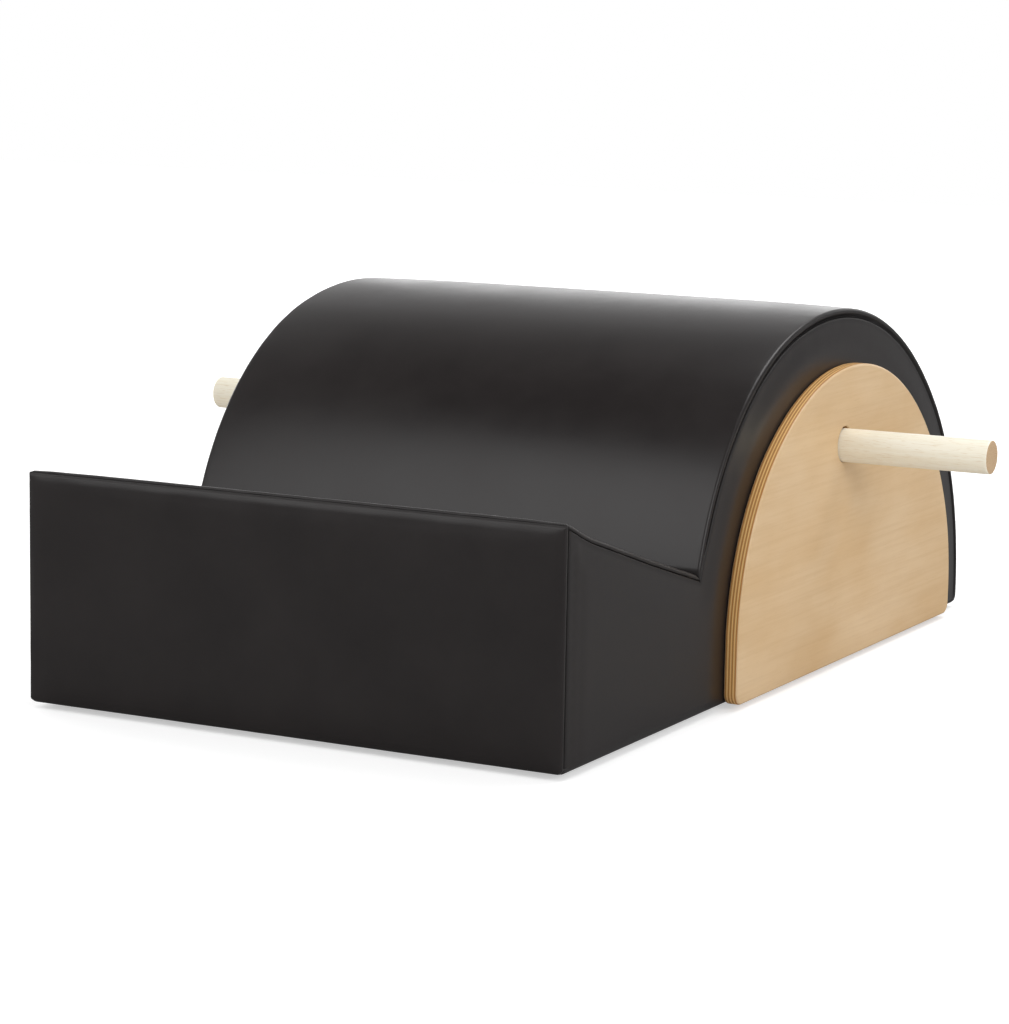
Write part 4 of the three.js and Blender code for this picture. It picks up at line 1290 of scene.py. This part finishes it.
class SPINE_OT_dust_cloth(Operator):
    """Makes the dust cloth under the body, and its staples"""

    bl_idname = "spine.dust_cloth"
    bl_label = "Dust cloth"

    def execute(self, context):
        shape = context.scene.underside_shape
        low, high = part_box("dust_cloth")
        rails = [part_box(f"{end}_rail") for end in ENDS]
        xs = spaced(low.x, high.x, 60)
        ys = spaced(low.y, high.y, 108)
        run, even, uneven = 0.05, 0.75, 0.25
        wave_x, wave_y, seed = 0.05, 0.09, 2.0
        outer, inner = [], []
        for y in ys:
            for x in xs:
                edge = min(x - low.x, high.x - x, y - low.y, high.y - y)
                rail = min(max(a.y - y, y - b.y, 0.0) for a, b in rails)
                slack = float(smooth_step(0.0, run, edge) * smooth_step(0.0, run, rail))
                ripple = uneven * noise.noise(Vector((x / wave_x, y / wave_y, seed)))
                sag = shape.cloth_sag * slack * (even + ripple)
                outer.append((x, y, low.z - sag))
                inner.append((x, y, high.z - sag))
        faces = reversed_faces(grid_faces(len(ys), len(xs)))
        vertices, solid = closed_shell(np.array(outer), np.array(inner), faces)
        cloth = new_object("under_cloth", vertices, solid)
        soften(cloth)
        declare(cloth, "base", dust_cloth_material(), ("dust_cloth",))
        self.staple(shape, low, high)
        return {"FINISHED"}

    def staple(self, shape, low, high):
        """Holds the cloth with a row of staples along each edge."""
        inset, pitch, wire = shape.staple_inset, shape.staple_pitch, shape.staple_wire
        sunk, leg, sides = 0.1 * MM, 2.4 * MM, 6
        z = low.z - wire / 2 + sunk
        west, east = low.x + inset, high.x - inset
        south, north = low.y + inset, high.y - inset
        rows = [[(x, south + pitch / 2, z), (x, north - pitch / 2, z)] for x in (west, east)]
        rows += [[(west + pitch / 2, y, z), (east - pitch / 2, y, z)] for y in (south, north)]
        half = shape.staple_width / 2
        bow = wire * 1.2
        centres = [(-half, leg), (-half, bow), (-half + bow * 0.3, bow * 0.3), (-half + bow, 0.0)]
        centres += [(-x, z_up) for x, z_up in centres[::-1]]
        rings = []
        for i, (x, up) in enumerate(centres):
            before, after = centres[max(i - 1, 0)], centres[min(i + 1, len(centres) - 1)]
            along = np.array(after) - np.array(before)
            along /= np.linalg.norm(along)
            for j in range(sides):
                a = 2 * math.pi * (j + 0.5) / sides
                side = wire / 2 * math.cos(a)
                rings.append((x - along[1] * side, wire / 2 * math.sin(a), up + along[0] * side))
        faces = reversed_faces(grid_faces(len(centres), sides, ring=True))
        caps = [tuple(range(sides)), tuple(range(len(rings) - 1, len(rings) - sides - 1, -1))]
        faces += caps
        staple = new_object("staple_shape", rings, faces)
        soften(staple)
        path = polyline("staple_rows", rows)
        staples = repeated("cloth_staples", path, staple, steel_material(), pitch)
        declare(staples, "base", steel_material())


class SPINE_OT_feet(Operator):
    """Makes the rubber feet and the screws that hold them"""

    bl_idname = "spine.feet"
    bl_label = "Feet"

    def execute(self, context):
        shape = context.scene.underside_shape
        names = [f"{side}_{end}" for side in SIDES for end in ENDS]
        boxes = [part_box(f"foot_{name}") for name in names]
        low, high = boxes[0]
        radius, height = (high.x - low.x) / 2, high.z - low.z
        screw_low, screw_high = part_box(f"foot_screw_{names[0]}")
        head = (screw_high.x - screw_low.x) / 2
        soft = shape.foot_round
        recess, opening, broken = 0.57 * height, head + CLEARANCE, 0.3 * MM
        profile = [(recess, 0.0), (recess, opening), (broken, opening), (0.0, opening + broken)]
        profile += [(0.0, 0.5 * radius), (0.0, 0.75 * radius)]
        profile += [(up, radius - inset) for up, inset in rounding(soft, 4)]
        profile += [(height - soft, radius), (height, radius - soft)]
        profile += [(height, 0.5 * radius), (height, 0.0)]
        points, faces = turned(profile, 40)
        foot = new_object("foot_shape", points, faces)
        soften(foot, sharp_degrees=35.0)
        spots = [[((a.x + b.x) / 2, (a.y + b.y) / 2, a.z)] for a, b in boxes]
        feet = repeated("rubber_feet", polyline("foot_spots", spots), foot, rubber_material())
        declare(feet, "base", rubber_material(), [f"foot_{name}" for name in names])

        head_height, total = 1.2 * MM, screw_high.z - screw_low.z
        points, faces = cross_head_screw(head, head_height, total, shape.screw_recess)
        screw = new_object("screw_shape", points, faces)
        soften(screw, sharp_degrees=35.0)
        spots = [[(x, y, screw_low.z)] for [(x, y, _)] in spots]
        screws = repeated("foot_screws", polyline("screw_spots", spots), screw, steel_material())
        stands_for = [f"foot_screw_{name}" for name in names]
        declare(screws, "base", steel_material(), stands_for)
        return {"FINISHED"}


def cross_head_screw(head, head_height, total, recess):
    """A screw with its head down and a cross cut into the head's face."""
    steps = 32
    arm, slot, face, cell, rise = 0.62 * head, 0.13 * head, 0.88 * head, 1.1 * MM, 0.1 * MM
    cross = [(slot, slot), (slot, arm), (-slot, arm), (-slot, slot), (-arm, slot), (-arm, -slot),
             (-slot, -slot), (-slot, -arm), (slot, -arm), (slot, -slot), (arm, -slot), (arm, slot)]
    corners = len(cross)
    rim = ring_of((0.0, 0.0), face, steps)
    points, flat = filled([rim, np.array(cross)], cell)
    count = len(points)
    dome = rise * (np.linalg.norm(points, axis=1) / face) ** 2
    vertices = [(x, y, z) for (x, y), z in zip(points, dome)]
    faces = reversed_faces(flat)
    vertices += [(x, y, recess) for x, y in cross]
    for i in range(corners):
        j = (i + 1) % corners
        faces.append((steps + i, steps + j, count + j, count + i))
    faces.append(tuple(count + i for i in reversed(range(corners))))
    shank, point = 0.476 * head, 3.0 * MM
    sections = [(0.3 * head_height, head), (head_height, head), (head_height, shank),
                (total - point, shank), (total, 0.1 * shank)]
    previous = list(range(steps))
    for z, radius in sections:
        start = len(vertices)
        vertices += [(x, y, z) for x, y in ring_of((0.0, 0.0), radius, steps)]
        ring = list(range(start, start + steps))
        for i in range(steps):
            j = (i + 1) % steps
            faces.append((previous[i], previous[j], ring[j], ring[i]))
        previous = ring
    faces.append(tuple(previous))
    return np.array(vertices), faces


class Graph:
    """A node tree, with short ways to add nodes and join them."""

    def __init__(self, tree):
        self.tree = tree

    def join(self, value, socket):
        """Sets a socket to a value, or links it to an output."""
        if isinstance(value, bpy.types.NodeSocket):
            self.tree.links.new(value, socket)
        else:
            socket.default_value = value

    def node(self, kind, inputs=None, **settings):
        """A node with settings on itself, and its inputs joined by name or number."""
        made = self.tree.nodes.new(kind)
        for key, value in settings.items():
            setattr(made, key, value)
        for key, value in (inputs or {}).items():
            self.join(value, made.inputs[key])
        return made

    def math(self, operation, a, b=0.0, c=0.0, **settings):
        """A sum of one kind or another."""
        inputs = {0: a, 1: b, 2: c}
        return self.node("ShaderNodeMath", inputs, operation=operation, **settings).outputs[0]

    def between(self, value, low, high, start=0.0, end=1.0, **settings):
        """A value stretched from one range to another, and kept inside it."""
        inputs = {
            "Value": value, "From Min": low, "From Max": high, "To Min": start, "To Max": end,
        }
        return self.node("ShaderNodeMapRange", inputs, **settings).outputs["Result"]

    def blend(self, factor, a, b):
        """A colour between two others."""
        made = self.node("ShaderNodeMix", {"Factor": factor}, data_type="RGBA")
        for index, value in ((6, a), (7, b)):
            socket = isinstance(value, bpy.types.NodeSocket)
            self.join(value if socket else (*value, 1.0), made.inputs[index])
        return made.outputs[2]


class Finish(Graph):
    """A node material."""

    def __init__(self, name):
        self.material = bpy.data.materials.new(name)
        self.material.use_nodes = True
        super().__init__(self.material.node_tree)
        self.coordinates = self.node("ShaderNodeTexCoord").outputs["Object"]

    def place(self, scale):
        """Object coordinates in units of a size along each axis."""
        scales = tuple(1.0 / size for size in scale)
        mapping = self.node("ShaderNodeMapping", {"Vector": self.coordinates, "Scale": scales})
        return mapping.outputs["Vector"]

    def noise(self, size, detail=3.0, rough=0.55):
        """Noise from 0 to 1 whose features have a size along each axis, in metres."""
        made = self.node("ShaderNodeTexNoise", inputs={
            "Vector": self.place(size), "Scale": 1.0, "Detail": detail, "Roughness": rough,
        })
        return made.outputs["Fac"]

    def stain(self, colour, tone, mask, low, high, start=0.0, end=1.0):
        """A tone over a colour, whose strength follows a mask from one value to another."""
        return self.blend(self.between(mask, low, high, start, end), colour, tone)

    def bump(self, height, distance, strength=1.0, normal=None):
        """A bump of a depth in metres."""
        inputs = {"Height": height, "Distance": distance, "Strength": strength}
        if normal is not None:
            inputs["Normal"] = normal
        return self.node("ShaderNodeBump", inputs).outputs["Normal"]

    def finish(self, **sockets):
        """Sets the shader's sockets, spelled with underscores, and returns the material."""
        for key, value in sockets.items():
            if isinstance(value, tuple) and len(value) == 3:
                value = (*value, 1.0)
            self.join(value, self.tree.nodes["Principled BSDF"].inputs[key.replace("_", " ")])
        return self.material


def named_material(name):
    """Turns a function that draws a finish into one that gives the material, drawn once."""

    def wrap(draw):
        """Keeps one function's material."""

        @functools.wraps(draw)
        def kept(*settings):
            """The material, drawn at the first call."""
            return bpy.data.materials.get(name) or draw(Finish(name), *settings)

        return kept

    return wrap


@named_material("black upholstery vinyl")
def vinyl_material(look):
    """Black upholstery vinyl with a fine pressed leather grain."""
    cells = look.node("ShaderNodeTexVoronoi", feature="DISTANCE_TO_EDGE", inputs={
        "Vector": look.place((1.5 * MM,) * 3), "Scale": 1.0, "Randomness": 0.95,
    }).outputs["Distance"]
    pebble = look.between(cells, 0.0, 0.22)
    fine = look.noise((0.5 * MM,) * 3, detail=2.0)
    grain = look.math("MULTIPLY_ADD", fine, 0.35, pebble)
    broad = look.noise((60 * MM,) * 3, detail=5.0, rough=0.62)
    seam = look.node("ShaderNodeAttribute", attribute_name="seam").outputs["Fac"]
    # Painted highlight: the base colour is lightened within 12 mm of a seam, a painted sheen on the
    # rolled seam beads
    painted_seam_sheen = look.between(seam, 0.0, 12.0, 1.0, 0.0)
    tone = look.between(broad, 0.3, 0.7)
    colour = look.blend(tone, (0.0120, 0.0095, 0.0094), (0.0160, 0.0128, 0.0124))
    colour = look.blend(look.math("MULTIPLY", painted_seam_sheen, 0.35), colour, (0.020, 0.018, 0.018))
    rough = look.math("MULTIPLY_ADD", broad, 0.13, 0.275)
    rough = look.math("MULTIPLY_ADD", pebble, -0.03, rough)
    rough = look.math("ADD", rough, look.between(seam, 0.5, 5.0, 0.20, 0.0))
    normal = look.bump(grain, 0.02 * MM, 0.5)
    normal = look.bump(look.noise((9 * MM,) * 3, detail=2.0), 0.05 * MM, 0.5, normal)
    return look.finish(Base_Color=colour, Roughness=rough, Specular_IOR_Level=0.40, Normal=normal)


@named_material("black sewing thread")
def thread_material(look):
    """Black bonded sewing thread."""
    twist = look.noise((0.6 * MM, 0.25 * MM, 0.25 * MM), detail=1.0)
    colour = look.blend(twist, (0.012, 0.011, 0.011), (0.035, 0.033, 0.033))
    return look.finish(Base_Color=colour, Roughness=0.5, Normal=look.bump(twist, 0.05 * MM))


@named_material("birch plywood")
def birch_material(look, shape, birch):
    """Clear-finished birch plywood: veneer faces, and plies that show along the edges."""
    axes = look.node("ShaderNodeSeparateXYZ", {0: look.coordinates})
    thickness = birch.outer - birch.inner
    inward = look.math("SUBTRACT", look.math("ABSOLUTE", axes.outputs["X"]), birch.inner)
    wander = look.noise((0.4, 0.05, 0.05), detail=2.0)
    layer = look.math("MULTIPLY_ADD", inward, shape.plies / thickness, -0.06)
    layer = look.math("MULTIPLY_ADD", wander, 0.12, layer)
    parity = look.math("PINGPONG", look.math("FLOOR", layer), 1.0)
    fibre = look.noise((0.25 * MM, 1.2 * MM, 1.2 * MM), detail=2.0)
    edge_light = look.blend(fibre, shape.ply_light, (0.90, 0.60, 0.26))
    edge_dark = look.blend(fibre, shape.ply_dark, (0.56, 0.27, 0.080))
    plies = look.blend(parity, edge_light, edge_dark)
    glue = look.math("PINGPONG", layer, 0.5)
    plies = look.stain(plies, (0.20, 0.095, 0.036), glue, 0.0, 0.07, 0.75, 0.0)

    streak = look.noise((0.5, 0.16, 0.0035), detail=4.0, rough=0.6)
    broad = look.noise((0.5, 0.16, 0.07), detail=3.0)
    pores = look.noise((0.5, 0.012, 0.0006), detail=2.0)
    veneer = look.stain(shape.face_dark, shape.face_light, broad, 0.3, 0.7)
    veneer = look.stain(veneer, (0.52, 0.33, 0.165), streak, 0.42, 0.72, 0.0, 0.26)
    veneer = look.stain(veneer, (0.40, 0.235, 0.11), pores, 0.60, 0.75, 0.0, 0.18)
    from_middle = look.math("ABSOLUTE", look.math("SUBTRACT", inward, thickness / 2))
    inner_plies = thickness / 2 - thickness / shape.plies
    outer_ply = look.between(from_middle, inner_plies, inner_plies + 0.02 * MM)
    colour = look.blend(outer_ply, plies, veneer)
    rough = look.between(streak, 0.3, 0.7, 0.40, 0.50)
    height = look.math("MULTIPLY_ADD", pores, 0.5, look.math("MULTIPLY", fibre, 0.3))
    return look.finish(
        Base_Color=colour, Roughness=rough, Specular_IOR_Level=0.35,
        Coat_Weight=0.08, Coat_Roughness=0.28, Normal=look.bump(height, 0.06 * MM, 0.5),
    )


@named_material("pale pole wood")
def pole_material(look, shape, y, z):
    """Pale hardwood with short flecks, and darker sawn ends."""
    long = look.noise((0.12, 0.0022, 0.0022), detail=3.0)
    flecks = look.noise((0.010, 0.0006, 0.0006), detail=1.0)
    colour = look.stain(shape.tone, (0.84, 0.780, 0.630), long, 0.35, 0.7)
    colour = look.stain(colour, shape.flecks, flecks, 0.60, 0.72, 0.0, 0.6)
    middle = look.node("ShaderNodeMapping", {
        "Vector": look.coordinates, "Location": (0.0, -y - 0.006, -z + 0.009),
    })
    rings = look.node("ShaderNodeTexWave", wave_type="RINGS", rings_direction="X", inputs={
        "Vector": middle.outputs["Vector"], "Scale": 230.0, "Distortion": 1.2, "Detail": 2.0,
        "Detail Scale": 40.0,
    }).outputs["Fac"]
    pores = look.noise((1.0, 0.0005, 0.0005), detail=1.0)
    end = look.blend(rings, shape.end_grain, (0.48, 0.31, 0.17))
    end = look.stain(end, (0.30, 0.18, 0.09), pores, 0.55, 0.7, 0.0, 0.5)
    sawn = look.node("ShaderNodeAttribute", attribute_name="end_grain").outputs["Fac"]
    colour = look.blend(sawn, colour, end)
    rough = look.math("MULTIPLY_ADD", sawn, 0.25, look.between(long, 0.3, 0.7, 0.36, 0.44))
    height = look.math("MULTIPLY_ADD", flecks, -0.6, long)
    return look.finish(
        Base_Color=colour, Roughness=rough, Specular_IOR_Level=0.45,
        Coat_Weight=0.15, Coat_Roughness=0.25, Normal=look.bump(height, 0.04 * MM, 0.5),
    )


@named_material("carcass plywood")
def carcass_material(look):
    """Plain plywood inside the body."""
    streak = look.noise((0.004, 0.16, 0.004), detail=4.0)
    broad = look.noise((0.08, 0.3, 0.08), detail=2.0)
    colour = look.blend(streak, (0.52, 0.36, 0.19), (0.66, 0.49, 0.30))
    colour = look.stain(colour, (0.44, 0.28, 0.14), broad, 0.4, 0.7, 0.0, 0.4)
    return look.finish(Base_Color=colour, Roughness=0.7, Normal=look.bump(streak, 0.08 * MM))


@named_material("dust cloth")
def dust_cloth_material(look):
    """Black spun dust cloth with a fine dimpled weld pattern."""
    fibres = look.noise((0.0022, 0.0004, 0.001), detail=3.0)
    across = look.noise((0.0004, 0.0022, 0.001), detail=3.0)
    web = look.math("MAXIMUM", fibres, across)
    dimples = look.node("ShaderNodeTexVoronoi", inputs={
        "Vector": look.place((1.6 * MM, 1.6 * MM, 1.0)), "Scale": 1.0, "Randomness": 0.0,
    }).outputs["Distance"]
    colour = look.blend(look.between(web, 0.4, 0.7), (0.008, 0.008, 0.008), (0.026, 0.026, 0.027))
    height = look.math("MULTIPLY_ADD", look.between(dimples, 0.1, 0.35), 0.5, web)
    return look.finish(Base_Color=colour, Roughness=0.9, Normal=look.bump(height, 0.12 * MM))


@named_material("moulded rubber")
def rubber_material(look):
    """Moulded black rubber."""
    matt = look.noise((0.0006,) * 3, detail=2.0)
    dust = look.noise((0.006,) * 3, detail=3.0)
    colour = look.stain((0.009, 0.009, 0.009), (0.03, 0.029, 0.028), dust, 0.5, 0.75, 0.0, 0.5)
    return look.finish(Base_Color=colour, Roughness=0.75, Normal=look.bump(matt, 0.05 * MM))


@named_material("plated steel")
def steel_material(look):
    """Zinc-plated steel of screws and staples."""
    cloudy = look.noise((0.002,) * 3, detail=3.0)
    colour = look.blend(cloudy, (0.42, 0.42, 0.41), (0.60, 0.60, 0.58))
    rough = look.between(cloudy, 0.3, 0.7, 0.28, 0.42)
    return look.finish(Base_Color=colour, Metallic=1.0, Roughness=rough,
                       Normal=look.bump(cloudy, 0.02 * MM))


class SPINE_OT_solids(Operator):
    """Gives the wood and screws that stay as the frame's solids their finish"""

    bl_idname = "spine.solids"
    bl_label = "Carcass and screws"

    def execute(self, context):
        finishes = {"carcass_ply": carcass_material(), "screw_steel": steel_material()}
        for part in frame["record"]["subparts"]:
            material = finishes.get(part["material_slot"])
            if material is not None:
                for slot in frame["nodes"][part["node"]].material_slots:
                    slot.material = material
        return {"FINISHED"}


def lamp(name, place, size, power):
    """A rectangular softbox that faces the object's middle."""
    data = bpy.data.lights.new(name, "AREA")
    data.shape = "RECTANGLE"
    data.size, data.size_y = size
    data.energy = power
    made = linked(name, data)
    made.location = place
    made.rotation_euler = (OBJECT_MIDDLE - Vector(place)).to_track_quat("-Z", "Y").to_euler()
    made.visible_camera = False


def seen_rays(graph, gloss_share):
    """Light paths, 1 for rays from a gloss or through glass, and the camera's rays with a share
    of those."""
    path = graph.node("ShaderNodeLightPath").outputs
    indirect = graph.math("MAXIMUM", path["Is Glossy Ray"], path["Is Transmission Ray"])
    seen = graph.math("MULTIPLY_ADD", indirect, gloss_share, path["Is Camera Ray"], use_clamp=True)
    return path, indirect, seen


# Softboxes: their names, the settings of their power, their places and their sizes
LAMPS = (
    ("front left softbox", "front_power", (-1.3, -2.9, 2.35), (2.6, 3.3)),
    ("right softbox", "right_power", (3.2, -1.4, 1.6), (2.2, 1.8)),
    ("overhead softbox", "top_power", (0.6, 1.2, 2.9), (2.0, 2.0)),
    ("left softbox", "left_power", (-3.2, 1.2, 1.6), (2.0, 1.6)),
    ("low back softbox", "back_power", (-0.4, 3.6, 0.9), (3.6, 1.0)),
)


class SPINE_OT_stage(Operator):
    """Sets up the floor, the white surroundings, the lamps and the camera"""

    bl_idname = "spine.stage"
    bl_label = "Stage"

    def execute(self, context):
        look = context.scene.stage_look
        context.scene.view_settings.view_transform = "Standard"
        self.floor(look)
        self.world(look)
        for name, power, place, size in LAMPS:
            lamp(name, place, size, getattr(look, power))
        self.camera(context.scene, look)
        return {"FINISHED"}

    def floor(self, look):
        """A pale floor that keeps the shadow."""
        half = look.floor_size / 2
        steps = spaced(-half, half, 8)
        points = [(x, y, 0.0) for y in steps for x in steps]
        floor = new_object("studio_floor", points, grid_faces(len(steps), len(steps)))
        finish = Finish("studio floor")
        path, _, seen = seen_rays(finish, look.gloss_share)
        tone = finish.blend(path["Is Glossy Ray"], look.floor_tone, look.floor_gloss)
        far = finish.node("ShaderNodeVectorMath", {0: finish.coordinates}, operation="LENGTH")
        rise = finish.between(
            far.outputs["Value"], look.floor_near, look.floor_far, look.floor_lift, look.floor_top
        )
        floor.data.materials.append(finish.finish(
            Base_Color=tone, Roughness=0.9, Specular_IOR_Level=0.1, Emission_Color=(1.0, 1.0, 1.0),
            Emission_Strength=finish.math("MULTIPLY", seen, rise),
        ))

    def world(self, look):
        """White where it is seen, softer where it lights the object."""
        world = bpy.data.worlds.new("studio")
        bpy.context.scene.world = world
        world.use_nodes = True
        graph = Graph(world.node_tree)
        path, indirect, _ = seen_rays(graph, 1.0)
        way = graph.node("ShaderNodeTexCoord").outputs["Generated"]
        height = graph.node("ShaderNodeSeparateXYZ", {0: way}).outputs["Z"]
        smooth = {"interpolation_type": "SMOOTHSTEP"}
        fall = graph.between(height, look.wall_low, look.wall_high, 1.0, look.ceiling, **smooth)
        backdrop = (math.cos(look.backdrop_turn), math.sin(look.backdrop_turn), 0.0)
        facing_it = graph.node("ShaderNodeVectorMath", {0: way, 1: backdrop}, operation="DOT_PRODUCT")
        toward = graph.between(
            facing_it.outputs["Value"], look.side_low, look.side_high, look.beside, 1.0, **smooth
        )
        shown = graph.math("MULTIPLY", fall, toward)
        lit = graph.node("ShaderNodeMix", {0: indirect, 2: look.ambient, 3: shown}).outputs[0]
        seen = graph.node("ShaderNodeMix", {0: path["Is Camera Ray"], 2: lit, 3: 1.0}).outputs[0]
        background = world.node_tree.nodes["Background"].inputs
        graph.join((1.0, 1.0, 1.0, 1.0), background["Color"])
        graph.join(seen, background["Strength"])

    def camera(self, scene, look):
        """The camera, at the angle of the photograph."""
        azimuth, elevation = look.azimuth, look.elevation
        back = Vector((
            math.sin(azimuth) * math.cos(elevation),
            -math.cos(azimuth) * math.cos(elevation),
            math.sin(elevation),
        ))
        level = Vector((math.cos(azimuth), math.sin(azimuth), 0.0))
        up = back.cross(level)
        c, s = math.cos(look.roll), math.sin(look.roll)
        right, top = level * c + up * s, up * c - level * s
        data = bpy.data.cameras.new("camera")
        data.sensor_width = 36.0
        data.lens = look.lens
        data.clip_end = 50.0
        camera = linked("camera", data)
        turn_to = Matrix((right, top, back)).transposed().to_4x4()
        camera.matrix_world = Matrix.Translation(look.camera_place) @ turn_to
        scene.camera = camera


class SPINE_PT_panel(Panel):
    """Lists the steps in the 3D view's sidebar"""

    bl_idname = "SPINE_PT_panel"
    bl_label = "Spine Corrector"
    bl_space_type = "VIEW_3D"
    bl_region_type = "UI"
    bl_category = "Spine Corrector"

    def draw(self, context):
        for name, _ in SETTINGS:
            settings = getattr(context.scene, name)
            box = self.layout.box()
            for key in settings.__annotations__:
                box.prop(settings, key)
        for operator in OPERATORS:
            self.layout.operator(operator.bl_idname)


SETTINGS = (
    ("body_shape", BodyShape),
    ("cover_shape", CoverShape),
    ("cover_cloth", ClothSettings),
    ("birch_shape", PanelShape),
    ("pole_shape", PoleShape),
    ("underside_shape", UndersideShape),
    ("stage_look", StageLook),
)
OPERATORS = (
    SPINE_OT_front_pad,
    SPINE_OT_seat_pad,
    SPINE_OT_barrel_pad,
    SPINE_OT_side_pads,
    SPINE_OT_stitches,
    SPINE_OT_birch_panels,
    SPINE_OT_pole,
    SPINE_OT_dust_cloth,
    SPINE_OT_feet,
    SPINE_OT_solids,
    SPINE_OT_stage,
)


def register():
    """Adds the settings, the operators and the panel."""
    for name, settings in SETTINGS:
        bpy.utils.register_class(settings)
        setattr(bpy.types.Scene, name, PointerProperty(type=settings))
    for operator in OPERATORS:
        bpy.utils.register_class(operator)
    bpy.utils.register_class(SPINE_PT_panel)


def unregister():
    """Takes them away again."""
    bpy.utils.unregister_class(SPINE_PT_panel)
    for operator in reversed(OPERATORS):
        bpy.utils.unregister_class(operator)
    for name, settings in reversed(SETTINGS):
        delattr(bpy.types.Scene, name)
        bpy.utils.unregister_class(settings)


def main():
    """Builds every piece and the stage."""
    register()
    for operator in OPERATORS:
        group, action = operator.bl_idname.split(".")
        getattr(getattr(bpy.ops, group), action)()


if __name__ == "__main__":
    main()
